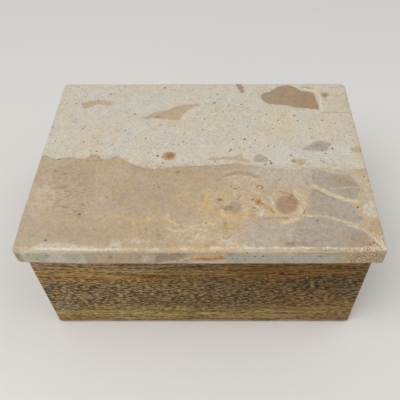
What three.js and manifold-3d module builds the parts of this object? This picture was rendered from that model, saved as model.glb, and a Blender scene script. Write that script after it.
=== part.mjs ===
// Arrowhead display box: a mitred wooden box with a lift-off stone lid and a padded bed inside.
// Millimetres, +Z up, front towards -Y. The origin is on the table, under the middle of the box.
import * as THREE from "three";
import { mergeVertices } from "three/addons/utils/BufferGeometryUtils.js";
import Module from "manifold-3d";

const wasm = await Module();
wasm.setup();

// Stone slab of the lid
const slabLength = 254;
const slabDepth = 184;
const slabThickness = 16;
const slabTopArris = 2.6;
const slabBottomArris = 1.2;
const slabFrontLeftCorner = 6;
const slabFrontRightCorner = 4;
const slabBackRightCorner = 5;
const slabBackLeftCorner = 3;
const slabOverhang = 5.2; // past the box on all four sides
const slabSeatGap = 0.3; // between the slab and the rim that it rests on

// Wooden panel glued under the slab, which drops inside the rim, and its felt
const panelThickness = 7;
const panelClearance = 1.2; // to the boards all round
const panelLeadIn = 1.5;
const panelCorner = 3;
const lidFeltThickness = 1;
const lidFeltMargin = 5;

// Four mitred boards
const boardHeight = 95.7;
const boardThickness = 12;
const boardArris = 1.2;
const mitreGlueLine = 0.15;
const glueLine = 0.2; // between any other two pieces that are glued face to face

// Loose splines across the mitres, stopped below the rim
const splineThickness = 2.5;
const splineWidth = 8;
const splineClearance = 0.2;
const splineFromInnerCorner = 5;
const splineStop = 12;
const splineFootRecess = 1;

// Bottom panel, floating in grooves
const bottomThickness = 5;
const bottomRise = 6; // of the groove above the boards' lower edges
const grooveDepth = 5;
const grooveClearance = 0.3;

// Felt discs that the box stands on
const footDiameter = 11;
const footThickness = 1.5;
const footInset = 7.5; // of its middle from the box's faces

// Felt linings of the four walls
const liningThickness = 1.5;
const liningBelowLid = 1.5;

// Lift-out display pad: a stiff board, foam, a velvet cover and two pull ribbons
const padClearance = 2; // to the linings all round
const padRestGap = 0.3;
const padBoardThickness = 3;
const foamShoulderRise = 6; // of the foam's straight sides above its board
const foamCrown = 9; // from there up to the middle of the pad
const foamCorner = 4;
const coverThickness = 0.8;
const coverTurnUnder = 15;
const ribbonWidth = 14;
const ribbonThickness = 0.6;
const ribbonGap = 0.3;
const ribbonReach = 30; // over the top of the pad
const ribbonFootRise = 3;

// Fineness of the round shapes
const arrisSteps = 4;
const cornerSteps = 5;
const crownSteps = 9;
const footSides = 28;
const crownPower = 2.8; // the crown's section: flat in the middle, round at the shoulder
const leastCorner = 0.4;
const cutOverrun = 5; // of a cutter past the face that it leaves through
const weldDistance = 1e-4; // within which two vertices are one

// Levels, from the table up
const boardBottom = footThickness;
const boardTop = boardBottom + boardHeight;
const bottomUnder = boardBottom + bottomRise + grooveClearance;
const floorLevel = bottomUnder + bottomThickness;
const slabUnder = boardTop + slabSeatGap;
const panelUnder = slabUnder - glueLine - panelThickness;
const lidFeltUnder = panelUnder - glueLine - lidFeltThickness;
const liningTop = lidFeltUnder - liningBelowLid;
const padUnder = floorLevel + padRestGap;
const padBoardUnder = padUnder + coverThickness + glueLine;
const foamUnder = padBoardUnder + padBoardThickness + glueLine;

// Plan sizes, as half lengths along X and Y
const boxHalf = [slabLength / 2 - slabOverhang, slabDepth / 2 - slabOverhang];
const insideHalf = boxHalf.map((h) => h - boardThickness);
const bedHalf = insideHalf.map((h) => h - glueLine - liningThickness);
const padHalf = bedHalf.map((h) => h - padClearance);
const foamHalf = padHalf.map((h) => h - coverThickness - glueLine);
const crownRun = Math.min(...foamHalf) - foamCorner; // from the pad's side to its middle

const looks = {
  stone: new THREE.MeshStandardMaterial({ color: 0xcdbda4, roughness: 0.45, metalness: 0 }),
  boxWood: new THREE.MeshStandardMaterial({ color: 0x7d6440, roughness: 0.6, metalness: 0 }),
  plainWood: new THREE.MeshStandardMaterial({ color: 0xb08f62, roughness: 0.7, metalness: 0 }),
  hardboard: new THREE.MeshStandardMaterial({ color: 0x6d4c33, roughness: 0.8, metalness: 0 }),
  felt: new THREE.MeshStandardMaterial({ color: 0x4a3627, roughness: 0.95, metalness: 0 }),
  foam: new THREE.MeshStandardMaterial({ color: 0xe0dac8, roughness: 0.9, metalness: 0 }),
  velvet: new THREE.MeshStandardMaterial({ color: 0x5a3d2b, roughness: 0.9, metalness: 0 }),
  ribbon: new THREE.MeshStandardMaterial({ color: 0x8a6a45, roughness: 0.5, metalness: 0 }),
};

// A rounded rectangle about the origin, anticlockwise from the front right corner.
// radii run front right, back right, back left, front left.
function roundedOutline([halfX, halfY], radii) {
  const quarter = Math.PI / 2;
  const signs = [[1, -1], [1, 1], [-1, 1], [-1, -1]];
  return signs.flatMap(([sx, sy], corner) => {
    const r = radii[corner];
    return Array.from({ length: cornerSteps + 1 }, (_, k) => {
      const angle = quarter * (corner - 1 + k / cornerSteps);
      return [sx * (halfX - r) + r * Math.cos(angle), sy * (halfY - r) + r * Math.sin(angle)];
    });
  });
}

// A closed solid through a stack of rounded outlines, each { inset, z }, from the lowest up.
function stackedBlock(half, radii, rings) {
  const outlines = rings.map(({ inset, z }) => ({
    z,
    points: roundedOutline(half.map((h) => h - inset), radii.map((r) => Math.max(leastCorner, r - inset))),
  }));
  const count = outlines[0].points.length;
  const position = outlines.flatMap(({ points, z }) => points.flatMap(([x, y]) => [x, y, z]));
  position.push(0, 0, outlines[0].z, 0, 0, outlines.at(-1).z);
  const underMiddle = count * outlines.length;
  const topMiddle = underMiddle + 1;
  const lastRing = count * (outlines.length - 1);
  const index = [];
  for (let i = 0; i < count; i++) {
    const next = (i + 1) % count;
    index.push(underMiddle, next, i, topMiddle, lastRing + i, lastRing + next);
    for (let ring = 0; ring < lastRing; ring += count) {
      index.push(ring + i, ring + next, ring + count + next);
      index.push(ring + i, ring + count + next, ring + count + i);
    }
  }
  const geometry = new THREE.BufferGeometry();
  geometry.setAttribute("position", new THREE.Float32BufferAttribute(position, 3));
  geometry.setIndex(index);
  return geometry;
}

// Rings of a quarter-round edge. It starts at level z, and turns in by radius over a rise of radius.
function roundedEdge(z, radius, up) {
  return Array.from({ length: arrisSteps + 1 }, (_, k) => {
    const angle = (Math.PI / 2) * (k / arrisSteps);
    return { inset: radius * (1 - Math.cos(angle)), z: z + up * radius * Math.sin(angle) };
  });
}

// A block with its lower and upper edges rounded, and square edges where a radius is zero.
function easedBlock(half, radii, low, high, lowArris, highArris) {
  const under = lowArris ? roundedEdge(low + lowArris, lowArris, -1).reverse() : [{ inset: 0, z: low }];
  const over = highArris ? roundedEdge(high - highArris, highArris, 1) : [{ inset: 0, z: high }];
  return stackedBlock(half, radii, [...under, ...over]);
}

const sameCorners = (radius) => [radius, radius, radius, radius];
const box = (x0, x1, y0, y1, z0, z1) =>
  new THREE.BoxGeometry(x1 - x0, y1 - y0, z1 - z0).translate((x0 + x1) / 2, (y0 + y1) / 2, (z0 + z1) / 2);

// A flat outline of [x, y] points, raised from z0 to z1.
function prism(points, z0, z1) {
  const shape = new THREE.Shape(points.map(([x, y]) => new THREE.Vector2(x, y)));
  return new THREE.ExtrudeGeometry(shape, { depth: z1 - z0, bevelEnabled: false }).translate(0, 0, z0);
}

function toSolid(geometry) {
  const bare = geometry.clone();
  bare.deleteAttribute("normal");
  bare.deleteAttribute("uv");
  const merged = mergeVertices(bare, weldDistance);
  return new wasm.Manifold(
    new wasm.Mesh({
      numProp: 3,
      vertProperties: new Float32Array(merged.attributes.position.array),
      triVerts: new Uint32Array(merged.index.array),
    }),
  );
}

function toGeometry(solid) {
  const { vertProperties, triVerts } = solid.getMesh();
  const geometry = new THREE.BufferGeometry();
  geometry.setAttribute("position", new THREE.Float32BufferAttribute(vertProperties, 3));
  geometry.setIndex(new THREE.BufferAttribute(triVerts, 1));
  geometry.computeVertexNormals();
  return geometry;
}

function named(name, geometry, material) {
  const mesh = new THREE.Mesh(geometry, material);
  mesh.name = name;
  return mesh;
}

// The splines' places: one across each mitre, turned to lie square to it.
const splineCorners = [
  { name: "front_left", sx: -1, sy: -1 },
  { name: "front_right", sx: 1, sy: -1 },
  { name: "back_left", sx: -1, sy: 1 },
  { name: "back_right", sx: 1, sy: 1 },
];

function splineBlock({ sx, sy }, clearance, low, high) {
  const outward = splineFromInnerCorner * Math.SQRT1_2;
  return new THREE.BoxGeometry(splineThickness + 2 * clearance, splineWidth + 2 * clearance, high - low)
    .rotateZ(Math.atan2(sy, sx))
    .translate(sx * (insideHalf[0] + outward), sy * (insideHalf[1] + outward), (low + high) / 2);
}

// A mitred board along X, outer face towards -Y at distance acrossHalf, before it is turned to its side.
function mitredOutline(alongHalf, acrossHalf) {
  const mitreBack = mitreGlueLine * Math.SQRT1_2;
  const outer = alongHalf - mitreBack;
  const inner = outer - boardThickness;
  return [
    [-outer, -acrossHalf],
    [outer, -acrossHalf],
    [inner, boardThickness - acrossHalf],
    [-inner, boardThickness - acrossHalf],
  ];
}

const outerShell = toSolid(
  easedBlock(boxHalf, sameCorners(boardArris), boardBottom, boardTop, boardArris, boardArris / 2),
);
const grooveCutter = toSolid(
  box(
    -insideHalf[0] - grooveDepth,
    insideHalf[0] + grooveDepth,
    -insideHalf[1] - grooveDepth,
    insideHalf[1] + grooveDepth,
    bottomUnder - grooveClearance,
    floorLevel + grooveClearance,
  ),
);
const splineLow = boardBottom + splineFootRecess;
const splineHigh = boardTop - splineStop;
const splineCutters = splineCorners.map((corner) =>
  toSolid(splineBlock(corner, splineClearance, boardBottom - cutOverrun, splineHigh + splineClearance)),
);

function mitredBoard(outline) {
  const blank = toSolid(prism(outline, boardBottom, boardTop)).intersect(outerShell).subtract(grooveCutter);
  return toGeometry(splineCutters.reduce((rest, cutter) => rest.subtract(cutter), blank));
}

function carcass() {
  const alongFront = mitredOutline(boxHalf[0], boxHalf[1]);
  const alongEnd = mitredOutline(boxHalf[1], boxHalf[0]);
  const turned = (outline, turn) => outline.map(([x, y]) => turn(x, y));
  return [
    named("front_board", mitredBoard(alongFront), looks.boxWood),
    named("back_board", mitredBoard(turned(alongFront, (x, y) => [-x, -y])), looks.boxWood),
    named("left_end_board", mitredBoard(turned(alongEnd, (x, y) => [y, -x])), looks.boxWood),
    named("right_end_board", mitredBoard(turned(alongEnd, (x, y) => [-y, x])), looks.boxWood),
  ];
}

function splines() {
  return splineCorners.map((corner) =>
    named("mitre_spline_" + corner.name, splineBlock(corner, 0, splineLow, splineHigh), looks.plainWood),
  );
}

// The bottom panel reaches into the grooves, with its corners clipped to clear the splines.
function bottomPanel() {
  const reach = grooveDepth - grooveClearance;
  const splineFace = splineFromInnerCorner - splineThickness / 2 - splineClearance - grooveClearance;
  const clip = Math.max(leastCorner, 2 * reach - Math.SQRT2 * splineFace);
  const [x, y] = insideHalf.map((h) => h + reach);
  const outline = [
    [clip - x, -y], [x - clip, -y], [x, clip - y], [x, y - clip],
    [x - clip, y], [clip - x, y], [-x, y - clip], [-x, clip - y],
  ];
  return named("bottom_panel", prism(outline, bottomUnder, floorLevel), looks.plainWood);
}

function feet() {
  return splineCorners.map(({ name, sx, sy }) => {
    const disc = new THREE.CylinderGeometry(footDiameter / 2, footDiameter / 2, footThickness, footSides);
    disc.rotateX(Math.PI / 2);
    const mesh = named("foot_pad_" + name, disc, looks.felt);
    mesh.position.set(sx * (boxHalf[0] - footInset), sy * (boxHalf[1] - footInset), footThickness / 2);
    return mesh;
  });
}

// The front and back linings run from end to end, and the end linings fit between them.
function linings() {
  const low = floorLevel + glueLine;
  const [faceX, faceY] = insideHalf.map((h) => h - glueLine);
  const [bedX, bedY] = bedHalf;
  const endY = bedY - glueLine;
  return [
    named("front_lining", box(-faceX, faceX, -faceY, -bedY, low, liningTop), looks.felt),
    named("back_lining", box(-faceX, faceX, bedY, faceY, low, liningTop), looks.felt),
    named("left_lining", box(-faceX, -bedX, -endY, endY, low, liningTop), looks.felt),
    named("right_lining", box(bedX, faceX, -endY, endY, low, liningTop), looks.felt),
  ];
}

// A point of the pad's crowned section, a share of the way from its side to the middle of the pad:
// how far in and how high it lies, on the surface that is pushed out by grow from the foam's own.
function crownPoint(share, grow) {
  const rise = (1 - (1 - share) ** crownPower) ** (1 / crownPower);
  return { inset: share * crownRun - grow, z: foamUnder + foamShoulderRise + (foamCrown + grow) * rise };
}

// Points along that section up to endShare, closer together on the shoulder.
function crownSection(grow, endShare) {
  return Array.from({ length: crownSteps + 1 }, (_, k) => crownPoint(endShare * (k / crownSteps) ** 2, grow));
}

function crownedBlock(grow, low) {
  const rings = [{ inset: -grow, z: low }, ...crownSection(grow, 1)];
  return stackedBlock(foamHalf, sameCorners(foamCorner), rings);
}

function padBoard() {
  const block = easedBlock(
    foamHalf, sameCorners(foamCorner), padBoardUnder, padBoardUnder + padBoardThickness, 0, 0,
  );
  return named("pad_board", block, looks.hardboard);
}

// The velvet wraps the foam and the board, and turns under the board's edge.
function padCover() {
  const outside = toSolid(crownedBlock(glueLine + coverThickness, padUnder));
  const hollow = toSolid(crownedBlock(glueLine, padUnder + coverThickness));
  const [openX, openY] = padHalf.map((h) => h - coverTurnUnder);
  const opening = toSolid(box(-openX, openX, -openY, openY, padUnder - cutOverrun, padBoardUnder));
  return named("pad_cover", toGeometry(outside.subtract(hollow).subtract(opening)), looks.velvet);
}

// A pull ribbon runs up the pad's end, over its shoulder and along the top.
function pullRibbon(name, side) {
  const skin = glueLine + coverThickness + ribbonGap;
  const [inner, outer] = [skin, skin + ribbonThickness].map((grow) => [
    { inset: -grow, z: padUnder + ribbonFootRise },
    ...crownSection(grow, ribbonReach / crownRun),
  ]);
  const outline = [...inner, ...outer.reverse()].map(({ inset, z }) => [side * (foamHalf[0] - inset), z]);
  const strip = prism(outline, 0, ribbonWidth).rotateX(Math.PI / 2).translate(0, ribbonWidth / 2, 0);
  return named(name, strip, looks.ribbon);
}

function displayPad() {
  const foam = crownedBlock(0, foamUnder);
  return [
    padBoard(),
    named("pad_foam", foam, looks.foam),
    padCover(),
    pullRibbon("pull_ribbon_left", -1),
    pullRibbon("pull_ribbon_right", 1),
  ];
}

function lid() {
  const slabRadii = [slabFrontRightCorner, slabBackRightCorner, slabBackLeftCorner, slabFrontLeftCorner];
  const slab = easedBlock(
    [slabLength / 2, slabDepth / 2], slabRadii, slabUnder, slabUnder + slabThickness, slabBottomArris, slabTopArris,
  );
  const panelHalf = insideHalf.map((h) => h - panelClearance);
  const panelRings = [
    { inset: panelLeadIn, z: panelUnder },
    { inset: 0, z: panelUnder + panelLeadIn },
    { inset: 0, z: panelUnder + panelThickness },
  ];
  const felt = easedBlock(
    panelHalf.map((h) => h - lidFeltMargin), sameCorners(panelCorner), lidFeltUnder,
    lidFeltUnder + lidFeltThickness, 0, 0,
  );
  return [
    named("lid_slab", slab, looks.stone),
    named("lid_locating_panel", stackedBlock(panelHalf, sameCorners(panelCorner), panelRings), looks.plainWood),
    named("lid_felt", felt, looks.felt),
  ];
}

const displayBox = new THREE.Group();
displayBox.add(...carcass(), ...splines(), bottomPanel(), ...feet(), ...linings(), ...displayPad(), ...lid());

export default displayBox;
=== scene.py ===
import math

import bpy
import numpy as np
from mathutils import Matrix, Vector, noise
from mathutils.bvhtree import BVHTree


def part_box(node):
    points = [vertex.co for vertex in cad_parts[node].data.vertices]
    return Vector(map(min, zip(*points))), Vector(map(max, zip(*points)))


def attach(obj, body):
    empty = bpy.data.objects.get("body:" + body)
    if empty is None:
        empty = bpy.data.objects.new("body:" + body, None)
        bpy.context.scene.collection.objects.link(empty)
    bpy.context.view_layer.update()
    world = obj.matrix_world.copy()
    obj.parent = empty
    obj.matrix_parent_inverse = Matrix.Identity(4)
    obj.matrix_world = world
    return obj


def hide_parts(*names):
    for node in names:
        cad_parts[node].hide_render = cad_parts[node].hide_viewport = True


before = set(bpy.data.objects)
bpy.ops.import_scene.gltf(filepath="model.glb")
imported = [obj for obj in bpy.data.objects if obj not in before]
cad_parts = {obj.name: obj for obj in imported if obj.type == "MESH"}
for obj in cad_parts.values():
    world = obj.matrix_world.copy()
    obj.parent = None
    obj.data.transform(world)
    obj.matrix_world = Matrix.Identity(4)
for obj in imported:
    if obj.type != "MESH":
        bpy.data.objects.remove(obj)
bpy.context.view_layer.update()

# All lengths below are in millimetres, as the meshes are while they are made.
MM = 0.001
CORNERS = ("front_left", "front_right", "back_left", "back_right")


def node_box(node):
    """The lowest and highest corner of a CAD node, in millimetres."""
    return [np.array(corner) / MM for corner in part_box(node)]


def srgb(red, green, blue):
    """A colour written as screen values from 0 to 255, as the linear values that a shader takes."""
    def linear(value):
        share = value / 255
        return share / 12.92 if share <= 0.04045 else ((share + 0.055) / 1.055) ** 2.4

    return (linear(red), linear(green), linear(blue), 1.0)


# Shaders

class Value:
    """A number, a place or a colour that a shader works out. Numbers and places take + - * and /."""

    __array_ufunc__ = None  # so that a NumPy number may stand on the left

    def __init__(self, shader, socket):
        self.shader, self.socket = shader, socket

    def worked(self, operation, a, b):
        kind = "VectorMath" if self.socket.type == "VECTOR" else "Math"
        return self.shader.node(kind, {0: a, 1: b}, operation=operation)

    def __add__(self, other):
        return self.worked("ADD", self, other)

    def __sub__(self, other):
        return self.worked("SUBTRACT", self, other)

    def __rsub__(self, other):
        return self.worked("SUBTRACT", other, self)

    def __mul__(self, other):
        return self.worked("MULTIPLY", self, other)

    def __truediv__(self, other):
        return self.worked("DIVIDE", self, other)


class Shader:
    """A material with a Principled surface, and one short method for each kind of node used here.
    Sizes given to the textures are in millimetres. A place with a shift added to it keeps a texture
    from repeating another one of the same size."""

    def __init__(self, name, **constants):
        self.material = bpy.data.materials.new(name)
        self.material.use_nodes = True
        self.tree = self.material.node_tree
        self.surface = self.tree.nodes["Principled BSDF"]
        for socket, value in constants.items():
            self.surface.inputs[socket.replace("_", " ")].default_value = value
        self.where = self.node("TexCoord", {}, output="Object") * (1 / MM, 1 / MM, 1 / MM)

    def node(self, kind, inputs, output=0, **settings):
        made = self.tree.nodes.new("ShaderNode" + kind)
        for setting, value in settings.items():
            setattr(made, setting, value)
        for key, value in inputs.items():
            if isinstance(value, Value):
                self.tree.links.new(value.socket, made.inputs[key])
            else:
                made.inputs[key].default_value = value
        return Value(self, made.outputs[output])

    def math(self, operation, *values):
        return self.node("Math", dict(enumerate(values)), operation=operation)

    def split(self, place):
        parts = self.node("SeparateXYZ", {0: place}).socket.node.outputs
        return [Value(self, part) for part in parts]

    def joined(self, x, y, z):
        return self.node("CombineXYZ", {0: x, 1: y, 2: z})

    def mix(self, share, a, b, blend="MIX"):
        settings = {"data_type": "RGBA", "blend_type": blend, "clamp_factor": True}
        return self.node("Mix", {0: share, 6: a, 7: b}, output=2, **settings)

    def tint(self, share, colour, tone):
        """The colour, with its brightness multiplied by tone where share is 1."""
        return self.mix(share, colour, (tone, tone, tone, 1.0), blend="MULTIPLY")

    def step(self, value, low, high):
        """0 where value is under low, 1 where it is over high, and smooth between. With low over high
        it falls instead of rising."""
        inputs = {"Value": value, "From Min": low, "From Max": high}
        return self.node("MapRange", inputs, interpolation_type="SMOOTHSTEP")

    def scaled(self, where, size):
        """The place counted in sizes; size is one length, or three for a stretched texture."""
        return (where or self.where) / (size if isinstance(size, tuple) else (size,) * 3)

    def noise(self, size, where=None, detail=2.0, roughness=0.5, distortion=0.0):
        """A noise whose lumps are about size across."""
        inputs = {"Vector": self.scaled(where, size), "Scale": 1.0, "Detail": detail}
        return self.node("TexNoise", {**inputs, "Roughness": roughness, "Distortion": distortion})

    def cells(self, size, where=None, output="Distance"):
        return self.node("TexVoronoi", {"Vector": self.scaled(where, size), "Scale": 1.0}, output=output)

    def ramp(self, value, *stops):
        """Colours at shares from 0 to 1, as (share, colour) pairs."""
        made = self.node("ValToRGB", {0: value})
        elements = made.socket.node.color_ramp.elements
        elements[0].position, elements[0].color = stops[0]
        elements[1].position, elements[1].color = stops[-1]
        for share, colour in stops[1:-1]:
            elements.new(share).color = colour
        return made

    def attribute(self, name):
        return self.node("Attribute", {}, output="Fac", attribute_name=name)

    def bump(self, height, depth):
        """A normal from a height of 0 to 1 that stands for depth millimetres."""
        return self.node("Bump", {"Height": height, "Distance": depth * MM, "Strength": 1.0})

    def finish(self, colour, roughness=None, normal=None):
        found = {"Base Color": colour, "Roughness": roughness, "Normal": normal}
        for name, value in found.items():
            if value is not None:
                self.tree.links.new(value.socket, self.surface.inputs[name])
        return self.material


# Stone of the lid

CREAM = srgb(201, 193, 176)
CREAM_WARM = srgb(201, 190, 169)
CREAM_BLUE = srgb(197, 198, 192)
TAN = srgb(183, 166, 141)
TAN_ROSE = srgb(184, 164, 141)
TAN_YELLOW = srgb(184, 163, 129)
STONE_SHADE = srgb(142, 122, 98)
GRIT_RUST = srgb(142, 98, 62)
GRIT_PALE = srgb(222, 206, 176)
STONE_WARM = (1.04, 1.0, 0.92, 1.0)
STONE_COOL = (0.96, 1.0, 1.08, 1.0)
STAIN = srgb(176, 150, 112)
SPECK_BROWN = srgb(128, 106, 80)
SPECK_BLUE = srgb(132, 133, 128)
SPECK_DARK = srgb(104, 92, 78)
MARBLING = [
    (0.34, srgb(160, 143, 120)), (0.41, srgb(182, 163, 134)), (0.455, srgb(208, 192, 162)),
    (0.49, srgb(184, 161, 128)), (0.53, srgb(192, 157, 112)), (0.57, srgb(205, 190, 160)),
    (0.6, srgb(178, 158, 132)), (0.68, srgb(198, 186, 164)),
]
# What each kind of patch looks like, in the order in which they are laid over the ground:
# colour, softness of its edge in millimetres, raggedness of its edge, and how strongly it covers.
PATCH_LOOKS = {
    "yellow": (srgb(205, 190, 158), 8.0, 4.0, 0.45),
    "blue": (srgb(195, 197, 192), 7.0, 5.0, 0.45),
    "tan": (TAN, 0.6, 1.0, 1.0),
    "tan_rim": (srgb(164, 142, 110), 0.7, 1.5, 0.5),
    "haze": (srgb(196, 185, 166), 4.5, 3.0, 0.75),
    "deep": (srgb(170, 149, 122), 8.0, 5.0, 0.5),
    "sand": (srgb(182, 159, 122), 7.0, 6.0, 0.55),
    "warm": (srgb(194, 177, 149), 3.5, 2.6, 0.8),
    "mauve": (srgb(187, 174, 156), 3.5, 2.4, 0.85),
    "ochre": (srgb(192, 158, 110), 2.8, 3.0, 0.68),
    "brow": (srgb(163, 145, 118), 1.1, 1.4, 0.75),
    "buff": (srgb(181, 157, 124), 1.1, 1.2, 0.78),
    "clay": (srgb(180, 167, 149), 1.6, 2.0, 0.9),
    "grey": (srgb(169, 157, 142), 0.9, 1.0, 0.92),
    "slate": (srgb(171, 167, 148), 2.6, 3.0, 0.75),
    "brown": (srgb(161, 137, 111), 0.8, 0.9, 0.95),
    "disc": (srgb(157, 129, 103), 1.3, 1.4, 0.85),
    "umber": (srgb(157, 129, 98), 5.0, 3.0, 0.5),
    "milk": (srgb(204, 198, 182), 2.0, 3.2, 0.68),
    # edge: painted highlight along the slab's rounded front edge, over the stone's own cream there
    "edge": (srgb(207, 190, 160), 1.1, 2.6, 0.75),
    # pale: the stone's own pale veins, and along the front edge also painted highlight lines and glints
    "pale": (srgb(215, 209, 192), 0.6, 1.2, 0.8),
    "cream": (srgb(205, 191, 160), 0.7, 1.0, 0.84),
    "amber": (srgb(206, 173, 120), 1.3, 2.2, 0.74),
    "shadow": (srgb(132, 114, 92), 0.8, 1.0, 0.62),
    "ink": (srgb(92, 80, 64), 0.5, 0.8, 0.7),
    "rust": (srgb(170, 127, 76), 1.1, 1.0, 0.75),
    "rust_core": (srgb(138, 92, 44), 1.7, 1.2, 0.75),
    "pit": (srgb(60, 52, 42), 0.35, 0.15, 0.85),
}
MARBLING_UNDER = "brow"  # the first kind of patch that lies over the marbling
TEXTURE_FIELDS = ["wrinkle", "busy", "grit"]  # fields that place a texture and not a colour
PATCH_KINDS = [kind for kind in PATCH_LOOKS if kind != "tan_rim"] + TEXTURE_FIELDS


def stone_ground(s):
    """Speckled cream, the ground that the patches lie in."""
    colour = s.mix(s.step(s.noise(30.0, detail=3.0), 0.4, 0.68), CREAM, CREAM_WARM)
    blue = s.step(s.noise(15.0, s.where + (40, 0, 9), detail=3.0), 0.52, 0.7)
    return s.mix(blue * 0.4, colour, CREAM_BLUE)


def stone_tan(s):
    """The tan zone's own colour, rosy in places and yellower in others."""
    rosy = s.step(s.noise(24.0, s.where + (7, 50, 3), detail=3.0), 0.42, 0.6)
    yellow = s.step(s.noise(17.0, s.where + (70, 5, 1), detail=3.0), 0.5, 0.66)
    return s.mix(yellow * 0.6, s.mix(rosy, TAN, TAN_ROSE), TAN_YELLOW)


def stone_speckle(s, colour, in_ground):
    """Many fine dots, brown or blue, and fewer dark ones, mostly where in_ground is 1. Returns
    (colour, share of dots)."""
    chance, hue, _ = s.split(s.cells(2.1, output="Color"))
    dots = (1.0 - s.step(s.cells(2.1), 0.14, 0.38)) * s.step(chance, 0.3, 0.8)
    dots = dots * s.step(s.noise(10.0, s.where + (3, 90, 14)), 0.3, 0.6) * (in_ground * 0.46 + 0.2)
    colour = s.mix(dots, colour, s.mix(s.step(hue, 0.45, 0.55), SPECK_BROWN, SPECK_BLUE))
    place = s.where + (9, 2, 4)
    chance = s.split(s.cells(5.2, place, output="Color"))[0]
    spots = (1.0 - s.step(s.cells(5.2, place), 0.08, 0.19)) * s.step(chance, 0.45, 0.9)
    spots = spots * (in_ground * 0.6 + 0.35)
    return s.mix(spots, colour, SPECK_DARK), dots + spots


def stone_marbling(s, colour):
    """Where the slab is busy: curls of cream, orange and grey brown, a few millimetres across."""
    curls = s.noise(10.0, s.where + (17, 3, 60), detail=5.0, roughness=0.66, distortion=2.6)
    return s.mix(s.step(s.attribute("busy"), -7.0, 7.0) * 0.76, colour, s.ramp(curls, *MARBLING))


def stone_patches(s, colour):
    """Lays every kind of patch over the ground. Returns (colour, share of tan, share of pits)."""
    ragged = (s.noise(2.4, detail=3.0, roughness=0.6) - 0.5) * 2.4
    mottle = s.noise(3.6, s.where + (11, 23, 5), detail=4.0, roughness=0.65)
    shares = {}
    for name, (shade, soft, raggedness, strength) in PATCH_LOOKS.items():
        shares[name] = s.step(s.attribute(name) + ragged * raggedness, -soft, soft)
        if name == MARBLING_UNDER:
            colour = stone_marbling(s, colour)
        if name == "tan":
            shade = stone_tan(s)
        elif name != "pit":
            shade = s.tint(s.step(mottle, 0.4, 0.7), s.tint(1.0, shade, 1.05), 0.86)
        colour = s.mix(shares[name] * strength, colour, shade)
    return colour, shares["tan"], shares["pit"]


def stone_wrinkles(s, colour):
    """Dark threads, a few millimetres long, in the left of the tan zone."""
    threads = s.noise((4.5, 1.1, 3.0), s.where + (5, 1, 2), detail=3.0, distortion=0.7)
    threads = s.step(threads, 0.53, 0.62) * s.step(s.attribute("wrinkle"), -5.0, 6.0)
    return s.mix(threads * 0.7, colour, STONE_SHADE)


def stone_grit(s, colour):
    """Coarse grains, rusty and pale, where the slab was never polished."""
    grains = s.noise(1.2, s.where + (2, 9, 31), detail=1.5)
    here = s.step(s.attribute("grit"), -5.0, 7.0)
    colour = s.mix(s.step(grains, 0.52, 0.62) * here * 0.72, colour, GRIT_RUST)
    return s.mix(s.step(grains, 0.48, 0.4) * here * 0.6, colour, GRIT_PALE)


def stone_unevenness(s, colour, tan_share):
    """Changes over the whole slab: warmer and cooler, lumps, darker areas and stains."""
    hue = s.step(s.noise(5.0, s.where + (14, 66, 2)), 0.36, 0.64)
    colour = s.mix(0.45, colour, s.mix(hue, STONE_WARM, STONE_COOL), blend="MULTIPLY")
    lumps = s.step(s.noise(3.4, s.where + (60, 2, 8), detail=3.0, roughness=0.6), 0.4, 0.62)
    colour = s.tint(lumps * (tan_share * 0.5 + 0.5), colour, 0.92)
    broad = s.step(s.noise(8.0, s.where + (25, 70, 12), detail=3.0), 0.4, 0.6)
    colour = s.tint(broad, s.tint(1.0, colour, 1.025), 0.95)
    stains = s.step(s.noise(5.5, s.where + (31, 8, 77), detail=3.0), 0.48, 0.66)
    return s.mix(stains * (tan_share * 0.12 + 0.1), colour, STAIN)


def stone_material():
    """Brecciated stone: a speckled cream ground, a tan zone, and clasts and veins that the slab's
    attributes place, with painted highlight and glints along the front edge. Each attribute is how far a
    point lies inside that kind of patch."""
    s = Shader("breccia", Specular_IOR_Level=0.28)
    colour, tan_share, pits = stone_patches(s, stone_ground(s))
    colour = stone_grit(s, stone_wrinkles(s, colour))
    grain = s.noise(1.3, detail=4.0, roughness=0.85)
    colour = s.tint(s.step(grain, 0.38, 0.64), s.tint(1.0, colour, 1.11), 0.77)
    colour = stone_unevenness(s, colour, tan_share)
    colour, speckle = stone_speckle(s, colour, 1.0 - tan_share)
    height = grain * 0.5 - speckle * 0.5 - pits
    return s.finish(colour, grain * 0.16 + 0.36, s.bump(height, 0.12))


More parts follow.
